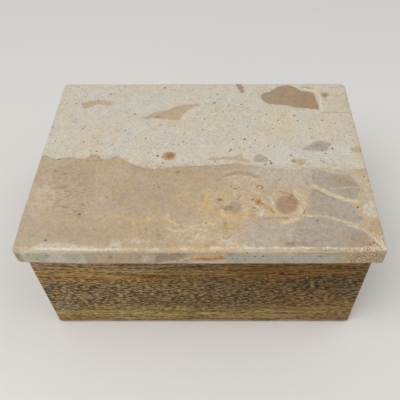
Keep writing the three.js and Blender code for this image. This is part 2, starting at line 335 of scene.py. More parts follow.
# Patches of the stone, as places on the slab's top in millimetres from its back left corner, x to the
# right and y to the front. An outline is its corners, a blob is (x, y, radius along x, radius along y),
# and a vein is its half width and its points; one with a half width under 0 is only a faint trace.
TOP_OUTLINES = {
    "yellow": [
        [(176, 40), (204, 36), (206, 60), (190, 74), (172, 62)],
        [(56, -9), (108, -9), (104, 6), (84, 11), (60, 8)],
        [(236, 14), (263, 8), (263, 40), (244, 38), (233, 28)],
        [(241, 70), (263, 66), (263, 82), (246, 81)],
        [(196, 106), (210, 104), (240, 106), (240, 112), (224, 111), (208, 108)],
    ],
    "tan": [
        [(-9, 93), (5, 94), (10, 96), (15, 97), (21, 95.5), (26, 95), (30, 97), (36, 97), (39, 93.5),
         (43, 92), (47, 94), (48, 98), (54, 97.5), (60, 94.5), (64, 96), (70, 101.5), (77, 104), (82, 107),
         (89, 108), (105, 106.5), (112, 105.5), (127, 105), (143, 103.5), (154, 101.5), (163, 104),
         (173, 107), (195, 109), (212, 106.5), (228, 109), (240, 108.5), (263, 109), (263, 193), (-9, 193)],
    ],
    "haze": [
        [(168, 100), (196, 106), (206, 105), (228, 108), (240, 107), (240, 111), (226, 113), (196, 113),
         (170, 110)],
        [(240, -9), (263, -9), (263, 104), (251, 104), (248, 60), (243, 24)],
        [(228, 112), (240, 112), (243, 120), (236, 117)],
    ],
    "deep": [
        [(62, 126), (78, 119), (100, 122), (110, 132), (100, 144), (80, 148), (66, 142)],
        [(128, 106), (160, 104), (164, 110), (140, 113), (130, 112)],
        [(16, 106), (30, 104), (44, 110), (46, 128), (34, 122), (20, 116)],
        [(108, 168), (126, 166), (134, 176), (118, 181), (104, 178)],
        [(72, 105), (96, 109), (120, 107), (122, 117), (92, 121), (74, 113)],
        [(20, 164), (60, 165), (100, 164), (108, 174), (98, 182), (60, 181), (26, 178)],
    ],
    "sand": [
        [(60, 152), (84, 154), (104, 151), (112, 158), (98, 170), (84, 178), (68, 176), (60, 166)],
        [(106, 116), (128, 112), (134, 130), (128, 152), (112, 154), (104, 136)],
        [(27, 97), (60, 97), (56, 104), (34, 106), (27, 103)],
        [(92, 104), (112, 107), (110, 113), (98, 112)],
        [(86, 178), (103, 173), (122, 175), (137, 176), (137, 184), (96, 184)],
        [(122, 166), (138, 165), (147, 171), (142, 178), (124, 180)],
    ],
    "warm": [
        [(240, 110), (263, 107), (263, 143), (247, 143), (241, 139), (246, 131), (244, 120)],
        [(197, 124), (203, 130), (205, 146), (202, 157), (193, 163), (182, 161), (191, 156), (199, 150),
         (200, 139)],
        [(0, 128), (14, 126), (24, 132), (22, 146), (6, 148), (-4, 140)],
        [(148, 118), (168, 119), (178, 124), (178, 132), (160, 130), (148, 128)],
    ],
    "mauve": [
        [(168, 105), (180, 105), (196, 108), (209, 108), (210, 120), (209, 128), (199, 131), (193, 127),
         (186, 130), (177, 127), (172, 121), (168, 115), (164, 109)],
        [(170, 147), (176, 148), (178, 154), (171, 156), (167, 151)],
    ],
    "ochre": [
        [(130, 141), (134, 144), (140, 150), (148, 152), (157, 150), (160, 142), (162, 132), (172, 130),
         (176, 134), (168, 138), (166, 146), (162, 156), (150, 160), (140, 157), (131, 149)],
        [(140, 159), (149, 157), (156, 163), (153, 168), (144, 170), (138, 165)],
        [(137, 178), (146, 177), (158, 177), (156, 185), (136, 185)],
        [(172, 139), (177, 141), (180, 150), (184, 153), (178, 154), (173, 147)],
        [(180, 139), (182.5, 134.5), (187, 132.3), (193, 132.8), (198.5, 138), (199, 144), (195, 138),
         (189, 135.5), (184, 140)],
        [(228, 15), (236, 14), (240, 19), (232, 22)], [(122, 119), (130, 117), (129, 124), (123, 124)],
        [(60, 96), (69, 98), (67, 102), (60, 101)], [(126, 138), (134, 136), (136, 148), (128, 150)],
        [(245, 158), (263, 157), (263, 172), (248, 172), (243, 166)],
    ],
    "buff": [
        [(21, 28), (26, 26), (30, 25), (36, 24), (40, 25.5), (45, 25), (49, 27), (48, 30), (44, 32),
         (40, 31), (35, 29), (32, 31), (29, 34), (26, 36), (22, 34.5)],
        [(74, 48), (80, 45), (84, 42), (90, 39.5), (96, 38), (101, 35), (105, 32), (110, 31), (125, 30.5),
         (121, 33), (117, 35), (114, 38), (111, 42), (109, 46), (106, 52), (98, 50.5), (92, 49.5),
         (78, 50)],
        [(130, 98.5), (134, 95.7), (150, 95.5), (154, 93.5), (157, 92.5), (160, 96), (164, 99), (165, 102),
         (160, 100.5), (152, 99), (145, 98.2), (138, 98.5)],
        [(196.5, 98.5), (200, 97), (204, 97), (208, 99), (207.5, 102), (203.5, 106), (200, 103)],
        [(243, 86), (250, 84), (263, 84), (263, 90), (246, 90)],
        [(246, 159), (263, 158), (263, 171), (249, 171), (244, 166)],
        [(172, 142), (174.5, 143), (177, 145.5), (180.5, 151.5), (177, 152), (173, 146)],
        [(35, 97), (40, 97.5), (50, 97.8), (50, 99.5), (38, 99.5)],
    ],
    "grey": [
        [(206, 87), (210, 84), (213, 81), (218, 78), (222, 76.5), (231, 80.5), (226, 87.5), (221, 89),
         (214, 88.5)],
        [(167, 100), (169, 95), (172, 91.5), (175, 93.5), (179.5, 97), (178.5, 101), (174, 101.5)],
        [(210.5, 108), (216, 109), (222, 112), (228, 114), (236, 113.5), (240, 117), (244, 124),
         (244.5, 130), (242, 137), (238, 138.5), (231, 136.5), (227, 135), (223, 131), (219, 128),
         (214, 127), (210.5, 124), (211, 116)],
        [(206, 134), (209, 131), (215, 133), (222, 136), (228, 139.5), (235, 144), (239, 148), (239, 153),
         (242, 156), (245, 158), (240, 160), (233, 160), (225, 156.5), (214, 154), (203, 152.5),
         (205, 146)],
        [(194, 160), (202, 155.5), (212, 156), (225, 160), (233, 163), (238.5, 167), (243, 171.5),
         (246, 177), (248, 181), (220, 181.4), (190, 181), (191, 172), (192, 164)],
    ],
    "brown": [
        [(175.8, 18.5), (180, 15), (185, 13), (190, 8.5), (193, 5.5), (197, 4), (205, 4), (208, 6),
         (211, 9.5), (215, 11.5), (220, 13), (224.5, 15), (225, 20), (225.5, 27), (226.5, 33), (226, 38),
         (221, 37), (215, 36), (208, 35), (203, 33.5), (198, 32), (190, 31), (184, 30), (180, 27),
         (178, 23)],
        [(155, -9), (159, 0), (162, 6), (163, 14), (160.5, 15), (158, 10), (156, 5)],
        [(211, 5), (217, 5.3), (226, 9), (220, 9), (213, 7.3)],
        [(230.5, 15), (235, 14.5), (236, 18), (234, 20.5), (231, 19.5)],
    ],
    "brow": [[(149, 139), (154, 140.5), (157, 145), (155.5, 150.5), (150, 151.5), (147.5, 146)]],
    "clay": [
        [(155, 182), (157, 174), (159.5, 168), (161.5, 162.5), (166.5, 158.5), (171.5, 158.5), (176, 161),
         (183, 162.5), (190, 161), (196, 160), (196, 182)],
        [(176, 137.5), (180, 135), (182, 137), (181, 141.5), (178, 145), (175.5, 141.5)],
    ],
    "disc": [
        [(180.5, 147), (181, 141), (183, 136.5), (187, 134), (194.5, 135), (197.3, 139), (197.8, 143),
         (196, 148), (192, 151.5), (188, 152.8), (184.5, 151.5)],
    ],
    "umber": [
        [(200, 24), (216, 16), (224, 18), (226, 37), (212, 35), (204, 31)],
        [(232, 167), (242, 171), (248, 181), (228, 182), (226, 174)],
        [(225, 117), (238, 116), (243, 127), (228, 126)], [(184, 176), (206, 177), (206, 182), (184, 182)],
        [(108, 180), (138, 180), (138, 190), (108, 190)], [(160, 182), (250, 182), (250, 190), (160, 190)],
    ],
    "milk": [
        [(10, 187), (16, 180), (25, 176.5), (34, 178), (44, 179), (57, 181), (57, 187)],
        [(66, 181), (68, 176), (71, 175), (75, 177.5), (74, 181)],
        [(77, 175), (82, 173.5), (88, 175), (93.5, 176), (91, 177.3), (84, 176.8), (79, 177.6)],
        [(245, 143), (250, 141), (263, 141), (263, 157), (250, 157), (246, 154), (242, 151)],
        [(245, 173), (263, 173), (263, 186), (252, 183), (247, 178)],
        [(140, 173), (148, 174.5), (156, 179), (166, 181), (150, 182), (142, 178)],
    ],
    "busy": [
        [(126, 134), (140, 127), (152, 124), (168, 122), (182, 130), (200, 128), (206, 138), (204, 154),
         (184, 160), (166, 158), (154, 166), (150, 184), (118, 184), (104, 176), (108, 164), (124, 158)],
        [(14, 180), (60, 179), (96, 178), (96, 186), (14, 186)],
        [(241, 142), (263, 142), (263, 186), (240, 186)],
    ],
    "grit": [[(236, 180), (244, 174), (263, 168), (263, 193), (234, 193)]],
    "wrinkle": [[(15, 105), (37, 106), (45, 118), (48, 146), (42, 155), (28, 154), (17, 140)]],
}
TOP_BLOBS = {
    # painted glints on the slab's front edge
    "pale": [(117, 182, 2.6, 1.4), (138.5, 182, 3.6, 1.2), (147, 181, 3.0, 1.0)],
    "milk": [
        (116.8, 182, 2.4, 2.0), (96, 183, 6, 1.6), (170, 151, 3.0, 2.8), (178.3, 138.7, 1.6, 2.6),
        (159.5, 151.5, 1.6, 3.6),
    ],
    "mauve": [(150.6, 138.4, 3.2, 3.0)],
    "blue": [
        (33, 19, 8, 7), (56, 33, 6, 6), (68, 62, 7, 6), (60, 87, 7, 5), (196, 92, 14, 8), (150, 22, 8, 6),
        (228, 96, 12, 6), (118, 98, 14, 4), (90, 18, 7, 5),
    ],
    "buff": [
        (22, 20, 1.6, 1.3), (62, 42, 1.3, 1.2), (92, 57, 1.2, 1.0), (105, 99, 0.8, 0.6),
        (58, 143, 0.9, 0.8),
    ],
    "rust": [
        (101, 94, 5.6, 4.8), (168.8, 141, 1.9, 2.6), (141.5, 139.3, 2.4, 1.3), (144.6, 161.5, 1.2, 3.2),
        (147.5, 165.6, 3.2, 0.9), (192, 138.5, 1.0, 0.8), (196, 142.3, 0.8, 1.2), (187, 151.5, 1.6, 0.9),
        (138, 148, 0.9, 0.8), (188, 157, 1.2, 0.7), (244, 178.5, 2.6, 1.2), (46, 98.8, 3.0, 0.7),
        (29, 99.3, 1.1, 0.9), (232.5, 17.3, 2.0, 1.2), (16, 97.4, 0.8, 0.7), (38, 99.2, 0.9, 0.6),
        (110, 111.5, 1.0, 1.2),
    ],
    "rust_core": [(102, 94, 3.2, 2.8), (141.5, 139.4, 1.6, 0.9), (168.7, 141.5, 1.0, 1.4)],
    "shadow": [
        (146.9, 147.5, 3.4, 2.6), (197, 93.5, 1.1, 1.7), (206, 124, 1.2, 1.2), (89, 46.5, 2.8, 1.3),
        (219, 82.5, 1.6, 1.3), (198, 100, 1.6, 1.6), (99.4, 171, 1.0, 1.2), (90, 166, 1.2, 1.4),
        (109, 112, 1.2, 1.4), (58, 137, 1.0, 1.0), (96, 127, 1.6, 1.2), (114, 163.5, 1.6, 0.8),
        (212, 117, 0.8, 1.2), (188, 178.5, 2.4, 0.8), (16, 110, 1.5, 1.0),
    ],
    "cream": [
        (104, 153.5, 1.5, 3.2), (152, 132, 1.4, 2.8), (169.5, 132.8, 1.8, 1.3), (165.5, 131, 1.6, 1.2),
    ],
    "ink": [
        (150, 125.8, 0.9, 0.9), (152.2, 128.9, 1.4, 0.6), (168.5, 127, 0.7, 0.8), (171.5, 128.8, 1.3, 0.5),
        (164.8, 139.3, 0.7, 0.9), (171.3, 143, 0.9, 0.8), (163.5, 153.2, 0.6, 0.9),
        (165.7, 146.5, 0.7, 0.6),
    ],
    "pit": [
        (91.8, 7, 1.15, 1.15), (44, 16, 0.95, 0.85), (16, 29, 0.85, 0.85), (136.5, 28.5, 1.05, 1.15),
        (68.5, 43, 0.95, 0.85), (204, 45.7, 1.05, 0.85), (227, 52, 0.85, 0.85), (215.5, 62, 0.95, 0.75),
        (161, 75, 1.05, 0.95), (62.5, 64, 0.85, 0.85), (31, 78, 0.85, 0.85), (43, 88.5, 0.85, 0.85),
        (92, 94, 1.05, 0.95), (57, 86, 0.75, 0.65), (179.5, 83.5, 0.75, 0.75), (149.8, 87, 0.75, 0.85),
        (181, 102.5, 1.05, 1.15), (176, 104, 0.95, 0.65), (224, 91.5, 0.85, 0.85),
        (41.5, 152.5, 1.15, 1.15), (23, 175.5, 1.05, 0.85), (240, 146.5, 0.95, 0.85),
        (206, 52.5, 0.75, 0.75), (16, 98, 0.85, 0.75), (250, 116.5, 0.75, 0.75), (209.5, 158.5, 0.75, 0.75),
        (131, 160.5, 0.75, 0.75), (28, 62, 0.75, 0.75), (81, 74, 0.75, 0.75), (103.5, 80.5, 0.75, 0.65),
        (84.5, 90, 0.65, 0.65), (165, 84.5, 0.75, 0.65), (152, 75, 0.65, 0.65), (231, 86, 0.75, 0.95),
        (233, 24.5, 0.85, 0.75), (112, 98.5, 0.75, 0.75), (136, 103, 0.65, 0.65),
    ],
}
TOP_VEINS = {
    "rust": [(0.7, [(172.5, 143.5), (176, 147), (179.5, 151)])],
    "pale": [
        (0.35, [(222, 128.3), (233, 127.9), (244, 127.5)]), (0.6, [(231, 163.2), (236, 164.3)]),
        (0.8, [(206, 3.5), (213, 6), (220, 9.4), (227, 12.2), (229.5, 20), (228, 30), (228.5, 40)]),
        # this and the next are painted highlight lines along the slab's front edge
        (0.9, [(18, 183), (30, 182), (44, 182.6), (60, 183.2), (76, 182.8)]),
        (0.4, [(158, 181.8), (176, 181.4), (196, 181.7), (214, 181.8), (236, 182), (252, 182.2)]),
        (1.0, [(247, 176), (250, 180), (253, 183)]),
    ],
    # painted highlight along the top of the slab's front edge, partly the stone's own cream
    "edge": [
        (1.0, [(8, 183.6), (24, 182.4), (36, 183.6), (50, 182.6), (62, 184), (75, 183), (96, 183.8),
         (120, 183.4)]),
        (1.4, [(120, 183.4), (150, 182.6), (175, 182.6), (200, 182.8)]),
        (0.5, [(200, 182.8), (226, 183.0), (254, 182.6)]),
    ],
    "brow": [(1.3, [(139.5, 121), (145.7, 115.2), (152.6, 112.4), (161.7, 113.1), (170, 117)])],
    "cream": [
        (0.2, [(46, 98), (46.6, 107), (48.6, 115), (48.8, 123), (50.4, 132), (51.5, 142)]),
        (1.7, [(211, 126), (217, 130), (222, 134), (227, 137), (233, 139.3), (240, 141.5)]),
        (0.8, [(203, 154), (213, 154.3), (219, 156), (226, 158.5), (231, 160), (238, 162)]),
        (0.7, [(231, 163.2), (239, 166), (243, 169), (245.5, 173), (249, 179)]),
        (1.2, [(197, 131), (201, 138), (202, 146), (199, 153), (193, 158.5), (185, 160.5)]),
        (0.5, [(196.5, 135), (199, 141), (198.5, 149), (194, 154), (187, 156)]),
        (0.8, [(179.5, 149), (178.7, 142), (178, 136)]),
        (0.7, [(103, 155), (107, 159.7), (112, 162.3), (118, 163.7), (123, 164), (127, 162), (132, 161),
         (138, 161.5)]),
        (0.6, [(105, 165.4), (109.5, 168), (113.5, 167.6), (119, 166.3), (131, 166), (131.5, 167.6),
         (125, 171)]),
        (0.6, [(116.5, 170.5), (124, 172.2), (131, 172.7), (140.5, 177), (145.5, 175), (150, 172),
         (155, 169.3)]),
        (0.5, [(116.5, 180), (121, 176), (125.5, 174), (129.5, 174)]),
        (0.9, [(126, 103.6), (136, 102.3), (146, 100.6), (154, 101.5), (162, 104)]),
        (1.0, [(166.5, 144.5), (170, 148.5), (171, 154)]), (0.6, [(171.8, 140), (171.8, 142)]),
        (0.6, [(180, 145.5), (181, 149.5), (183, 152.5)]),
        (0.3, [(144, 113), (152, 109), (160, 108.6), (170, 111)]),
        (0.5, [(144, 118), (154, 115.6), (163, 116.5), (170, 120)]),
    ],
    "amber": [
        (0.7, [(181.3, 149), (180.9, 143), (182.6, 137.6), (186.5, 134.8), (192, 135)]),
        (0.5, [(183, 152.6), (188, 154), (194, 151.5)]), (1.0, [(172, 141.5), (175, 146), (178.5, 150.5)]),
        (0.05, [(193.6, 163), (193.8, 172), (192.6, 181)]),
        (0.5, [(202.5, 133), (205.4, 142.5), (201.5, 150.8), (198.8, 156)]),
        (-0.5, [(203, 154), (212, 154.4), (225, 158), (234, 161)]),
        (0.7, [(253.4, 8), (253.6, 60), (253.8, 110), (253.6, 150)]),
        (1.2, [(110, 181.6), (118, 180.8), (126, 181.6), (134, 182)]),
        (1.2, [(65, 154), (72, 155.5), (80, 157.3), (86, 158.5), (92, 156.5), (98, 155), (105, 157)]),
        (1.9, [(131, 143.5), (138, 148.5), (144, 153), (152, 155.5), (159, 154), (162, 149.5)]),
        (0.7, [(109, 138.5), (111, 134.7), (114.7, 132.8), (117.8, 135.7), (120.2, 142.4), (123.3, 147),
         (128, 151)]),
        (0.9, [(131.7, 134), (131, 144), (133.4, 151.7)]), (0.8, [(138, 183), (146, 180.5), (155, 178.5)]),
        (0.5, [(146, 163), (140, 158), (133, 155)]), (0.5, [(80, 159), (82, 166), (79, 172)]),
    ],
    "shadow": [
        (0.55, [(219, 99.5), (222, 101.5), (226, 104), (230.5, 104.6)]),
        (0.45, [(154, 139), (155.5, 136), (157, 134.5)]), (0.35, [(164.3, 140), (166, 136.5)]),
        (0.6, [(209, 129.3), (214, 132), (220, 136), (225, 139)]),
        (0.5, [(203.5, 146), (200.5, 152), (197, 155.5)]), (0.5, [(145, 174.5), (149, 172)]),
        (0.5, [(172, 156.5), (184, 155.8), (190, 157)]), (0.4, [(228, 42.5), (240, 41), (254, 43)]),
    ],
    "ink": [
        (0.3, [(169, 125.5), (172, 125.8), (173, 127.5)]), (0.3, [(167, 146), (168.5, 149)]),
        (0.5, [(184.6, 131), (191, 133.4), (194.5, 135.6)]), (0.3, [(180.6, 124.4), (187, 118)]),
    ],
}

# Patches on the slab's front face, in millimetres from its left end and down from its top.
FRONT_OUTLINES = {
    "tan": [
        [(-9, -3), (6, -3), (7, 20), (-9, 20)], [(48, -3), (97, -3), (94, 20), (50, 20)],
        [(224, -3), (263, -3), (263, 20), (219, 20)],
    ],
    "deep": [[(64, 3), (90, 3), (88, 20), (64, 20)], [(234, 3), (258, 3), (258, 20), (236, 20)]],
    "yellow": [[(24, -3), (30, -3), (30, 20), (24, 20)]],
    "sand": [[(224, -3), (263, -3), (263, 20), (219, 20)]],
    "ochre": [
        [(117, -3), (146, -3), (145, 12), (116, 12)], [(226, -3), (240, -3), (238, 5), (228, 5)],
        [(248, 8), (257, 8), (257, 18), (246, 18)],
    ],
    "amber": [
        [(122, 3.5), (143, 3.5), (143.5, 13), (121, 13)], [(176, 2.2), (190, 2.2), (190, 4.4), (176, 4.2)],
    ],
    "busy": [[(60, 2), (96, 2), (96, 20), (60, 20)], [(226, -3), (263, -3), (263, 20), (222, 20)]],
    "grit": [[(228, 1), (263, -3), (263, 20), (224, 20)]],
    "slate": [
        [(8, 2.6), (24, 2.4), (26, 7), (20, 12.5), (9, 12)], [(35, 4), (47, 4), (46, 13), (36, 13)],
        [(146, 3.6), (225, 3.6), (220, 20), (145, 20)],
    ],
    "grey": [[(97, 2.2), (119.5, 2.2), (119, 12), (114, 20), (95, 20)]],
    "umber": [
        [(96, 1), (121, 1), (120, 20), (94, 20)], [(230, 5), (258, 4), (258, 20), (226, 20)],
        [(-4, 3), (5, 3), (6, 20), (-4, 20)],
    ],
    "milk": [
        [(28, 0), (35, 0), (34, 12), (30, 12)], [(89, 7), (96, 7), (94, 13), (88, 13)],
        [(186, 0), (191, 0), (190, 5), (187, 5)],
    ],
}
FRONT_BLOBS = {
    "rust": [
        (133, 10.2, 4.6, 1.7), (142.2, 8.8, 2.4, 2.0), (112, 3.6, 3.0, 1.2), (66.5, 7.6, 1.7, 1.6),
        (99, 11, 0.8, 2.0), (17, 1.5, 1.4, 1.0), (206, 3.0, 2.4, 0.8), (233, 9, 1.8, 1.2),
        (243, 7.5, 2.2, 1.0), (252, 9.5, 1.4, 1.6),
    ],
    "rust_core": [(128, 10.4, 3.6, 1.0), (139.5, 9.0, 3.0, 1.0)],
    "ink": [(243.5, 11.5, 1.4, 1.2), (170.2, 6.6, 0.7, 0.8), (130.6, 9.3, 0.8, 0.9)],
    "shadow": [
        (86.6, 7.6, 1.2, 1.2), (149, 4.4, 1.6, 1.4), (209, 7, 1.2, 1.2), (235, 6, 1.4, 1.8),
        (158, 11, 0.9, 1.2), (16, 10, 1.0, 1.0), (4, 6, 1.4, 2.4), (229, 8, 1.6, 1.2), (250, 6, 1.2, 1.6),
    ],
    "pit": [
        (170, 6.5, 0.65, 0.65), (207, 9, 0.65, 0.65), (238, 6, 0.75, 0.75), (247, 5, 0.75, 0.85),
        (231, 12, 0.75, 0.75),
    ],
}
FRONT_VEINS = {
    "amber": [
        (0.9, [(148, 3.2), (156, 3.6), (162, 2.6), (168, 3.0), (174, 2.8), (180, 2.6), (186, 3.0)]),
        (1.0, [(192, 2.8), (202, 2.6), (214, 3.2), (226, 2.8), (240, 3.2), (252, 3.0)]),
        (1.0, [(121.5, 2), (122.5, 6), (124, 8.5)]), (0.8, [(12, 2.4), (22, 1.6), (30, 2.0), (36, 2.6)]),
    ],
    # painted highlight along the slab's rounded front edge, on the front face
    "edge": [
        (1.5, [(4, 0.8), (30, 1.2), (60, 1.0), (90, 1.2), (120, 0.8)]),
        (1.2, [(120, 0.8), (150, 0.8), (190, 1.0), (226, 0.8), (254, 0.8)]),
    ],
    "cream": [
        (0.6, [(57, 2), (59, 8), (58, 14)]), (0.5, [(62, 0), (63, 6), (61, 13)]),
        (0.8, [(126, 1), (127, 12)]), (0.6, [(229, 4), (231, 9), (230, 14)]), (0.6, [(234, 9), (236, 14)]),
        (0.5, [(116, 14), (126, 13)]), (1.6, [(100, 15.5), (112, 13.5), (120, 9)]),
    ],
    "rust": [
        (0.7, [(190, 3.2), (204, 3.1), (218, 3.4), (236, 3.2), (252, 3.4)]),
        (0.5, [(146, 3.8), (156, 4.0)]),
    ],
}
FAR_OUTSIDE = -40.0  # what a field holds far from every patch of its kind


def distance_to_line(points, a, b):
    along = b - a
    share = np.clip((points - a) @ along / (along @ along), 0, 1)
    return np.linalg.norm(points - a - share[:, None] * along, axis=1)


def inside_outline(points, outline):
    """How far each point lies inside a closed outline; negative outside it."""
    corners = np.array(outline, float)
    nearest = np.full(len(points), np.inf)
    crossings = np.zeros(len(points), bool)
    for a, b in zip(corners, np.roll(corners, -1, axis=0)):
        nearest = np.minimum(nearest, distance_to_line(points, a, b))
        spans = (a[1] > points[:, 1]) != (b[1] > points[:, 1])
        if a[1] != b[1]:
            cut = a[0] + (points[:, 1] - a[1]) * (b[0] - a[0]) / (b[1] - a[1])
            crossings ^= spans & (points[:, 0] < cut)
    return np.where(crossings, nearest, -nearest)


def inside_vein(points, half_width, places):
    """The same for a vein, a line that is equally wide all along and round at its ends."""
    corners = np.array(places, float)
    away = [distance_to_line(points, a, b) for a, b in zip(corners, corners[1:])]
    return half_width - np.min(away, axis=0)


def inside_blob(points, x, y, radius_x, radius_y):
    """Nearly the same for an ellipse: measured by its smaller radius."""
    scaled = np.linalg.norm((points - (x, y)) / (radius_x, radius_y), axis=1)
    return (1 - scaled) * min(radius_x, radius_y)


def patch_field(points, kind, outlines, blobs, veins):
    """How far each point lies inside the nearest patch of one kind."""
    found = [inside_outline(points, outline) for outline in outlines.get(kind, [])]
    found += [inside_blob(points, *blob) for blob in blobs.get(kind, [])]
    found += [inside_vein(points, *vein) for vein in veins.get(kind, [])]
    return np.max(found + [np.full(len(points), FAR_OUTSIDE)], axis=0)


# Meshes

EDGE_STEPS = np.array([0, 0.25, 0.5, 0.75, 1.0, 1.5])  # places within a rounded edge, in its radii
EDGE_REACH = 2.2
TINY = 1e-6


def noise_at(points, size, seed=0.0):
    """A smooth noise from -1 to 1 at each point, with lumps about size across."""
    return np.array([noise.noise(Vector(p) / size + Vector((seed, -seed, seed / 2))) for p in points])


def smooth_share(value, low, high):
    share = np.clip((value - low) / (high - low), 0, 1)
    return share * share * (3 - 2 * share)


def spaced(low, high, spacing):
    """Evenly spaced places from low to high, at most spacing apart."""
    return np.linspace(low, high, max(2, math.ceil((high - low) / spacing) + 1))


def stepped(low, high, steps, start, spacing):
    """The given steps in from both ends, and from start on evenly spaced places."""
    return np.concatenate([low + steps, spaced(low + start, high - start, spacing), high - steps[::-1]])


def edged(low, high, edge, spacing):
    """Evenly spaced places, with finer ones within edge of both ends, for a rounded edge."""
    return stepped(low, high, edge * EDGE_STEPS, EDGE_REACH * edge, spacing)


def lattice(xs, ys, zs, open_bottom=False):
    """The surface of a block as quads between the given places along each axis. Returns (points, faces)."""
    axes = (xs, ys, zs)
    found, points, faces = {}, [], []

    def vertex(key):
        if key not in found:
            found[key] = len(points)
            points.append([axes[n][key[n]] for n in range(3)])
        return found[key]

    for axis in range(3):
        a, b = (axis + 1) % 3, (axis + 2) % 3
        for level in (0, len(axes[axis]) - 1):
            if open_bottom and axis == 2 and level == 0:
                continue
            for p in range(len(axes[a]) - 1):
                for q in range(len(axes[b]) - 1):
                    corners = [(p, q), (p + 1, q), (p + 1, q + 1), (p, q + 1)]
                    if level == 0:
                        corners.reverse()
                    keys = [[0, 0, 0] for _ in corners]
                    for key, (i, j) in zip(keys, corners):
                        key[axis], key[a], key[b] = level, i, j
                    faces.append([vertex(tuple(key)) for key in keys])
    return np.array(points), faces


def sides_of(ring):
    """Each vertex of a closed ring with the one after it."""
    return list(zip(ring, ring[1:] + ring[:1]))


def boundary_loop(faces):
    """The vertices around the one open edge of a mesh, in order."""
    follows = {side for face in faces for side in sides_of(face)}
    after = {b: a for a, b in follows if (b, a) not in follows}
    loop = [min(after)]
    while after[loop[-1]] != loop[0]:
        loop.append(after[loop[-1]])
    return loop


def add_ring(points, faces, ring, placed):
    """Joins a new ring of points to the open edge given by ring. Returns (points, new ring)."""
    inner = list(range(len(points), len(points) + len(ring)))
    faces += [[a, b, d, c] for (a, b), (c, d) in zip(sides_of(ring), sides_of(inner))]
    return np.vstack([points, placed]), inner


def turn_in(points, faces, ring, half, step, count):
    """Adds level rings to an open edge, each a step further in. Returns (points, last ring)."""
    edge = points[ring]
    for n in range(1, count + 1):
        shrunk = edge[:, :2] * (1 - n * step / half[:2])
        points, ring = add_ring(points, faces, ring, np.column_stack([shrunk, edge[:, 2]]))
    return points, ring


def make_mesh(name, points, faces, smooth=True):
    mesh = bpy.data.meshes.new(name)
    mesh.from_pydata((np.asarray(points) * MM).tolist(), [], faces)
    mesh.validate()
    if smooth:
        mesh.shade_smooth()
    piece = bpy.data.objects.new(name, mesh)
    bpy.context.scene.collection.objects.link(piece)
    return piece


def paint(piece, material):
    piece.data.materials.clear()
    piece.data.materials.append(material)


def dress(piece, body, material, replaced):
    """Gives a new piece its material and its body, and hides the CAD node that it stands for."""
    paint(piece, material)
    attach(piece, body)
    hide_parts(replaced)


def apply_modifiers(piece):
    """Replaces the piece's mesh with what its modifiers make of it."""
    evaluated = piece.evaluated_get(bpy.context.evaluated_depsgraph_get())
    piece.data = bpy.data.meshes.new_from_object(evaluated)
    piece.modifiers.clear()


# Rounded corners and edges

def same_corners(radius):
    """The radius of each upright corner of a block, where all are alike."""
    return {(x, y): radius for x in (-1, 1) for y in (-1, 1)}


def rounded_corner(u, v, radius):
    """Maps a square of side radius onto a quarter disc."""
    limit = 2 * radius * radius
    return u * np.sqrt(1 - v * v / limit), v * np.sqrt(1 - u * u / limit)


def round_plan(points, half, radii):
    """Rounds the block's upright corners. Returns what plan_edge does."""
    for (sx, sy), given in radii.items():
        radius = np.broadcast_to(given, len(points))
        u = points[:, 0] * sx - (half[0] - radius)
        v = points[:, 1] * sy - (half[1] - radius)
        here = (u > 0) & (v > 0)
        turned_u, turned_v = rounded_corner(u[here], v[here], radius[here])
        points[here, 0] = sx * (half[0] - radius[here] + turned_u)
        points[here, 1] = sy * (half[1] - radius[here] + turned_v)
    return plan_edge(points, half, radii)


def plan_edge(points, half, radii):
    """(distance from the rounded plan's edge, outward direction) of each point."""
    choices = [radii[x, y] for y in (-1, 1) for x in (-1, 1)]
    radius = np.choose((points[:, 0] > 0) + 2 * (points[:, 1] > 0), choices)
    q = np.abs(points[:, :2]) - (half[:2] - radius[:, None])
    in_corner = (q > 0).all(axis=1)
    reach = np.where(in_corner, np.linalg.norm(q, axis=1), q.max(axis=1))
    straight = np.where(q[:, :1] > q[:, 1:], [1.0, 0.0], [0.0, 1.0])
    turned = q / np.maximum(reach, TINY)[:, None]
    direction = np.where(in_corner[:, None], turned, straight) * np.sign(points[:, :2])
    return radius - reach, direction


def round_arris(points, distance, direction, level, radius, up):
    """Rounds the edge where the sides meet the top (up 1) or the underside (up -1) at level."""
    a = radius - distance
    b = (points[:, 2] - (level - up * radius)) * up
    here = (a > 0) & (b > 0)
    turned_a, turned_b = rounded_corner(a[here], b[here], radius[here])
    points[here, :2] -= direction[here] * (a[here] - turned_a)[:, None]
    points[here, 2] -= up * (b[here] - turned_b)


# Lid slab

SLAB_LOW, SLAB_HIGH = node_box("lid_slab")
SLAB_SIZE = SLAB_HIGH - SLAB_LOW
SLAB_HALF = SLAB_SIZE / 2
SLAB_SPACING = 0.9
SLAB_TOP_ARRIS = 2.4
SLAB_UNDER_ARRIS = 0.5
SLAB_ARRIS_SWING = 0.7
SLAB_ARRIS_LUMP = 9.0  # how long the swings in the edges' rounding are
SLAB_UNDER_SWING = 0.3  # the share of the swing that the underside's edge has
SLAB_CORNERS = {(-1, -1): 4.4, (1, -1): 1.6, (1, 1): 5.0, (-1, 1): 3.0}
SLAB_FRONT_CORNER_ARRIS = 2.0  # how much more the top's edge is rounded at the front left corner
SLAB_UNDER_CORNER_ARRIS = (2.8, 0.6)  # how much more the underside's edge is, at the front's left and right
SLAB_CORNER_REACH = (60.0, 26.0)
SLAB_UNDER_RINGS = 10
SLAB_UNDER_RING_STEP = 2.2
SLAB_SIDE_SWING = 0.22
SLAB_SIDE_LUMPS = (14.0, 3.0)  # sizes of the broad and the fine unevenness of its sides
SLAB_SIDE_FINE = 0.4  # how strong the fine one is where the broad one is 1
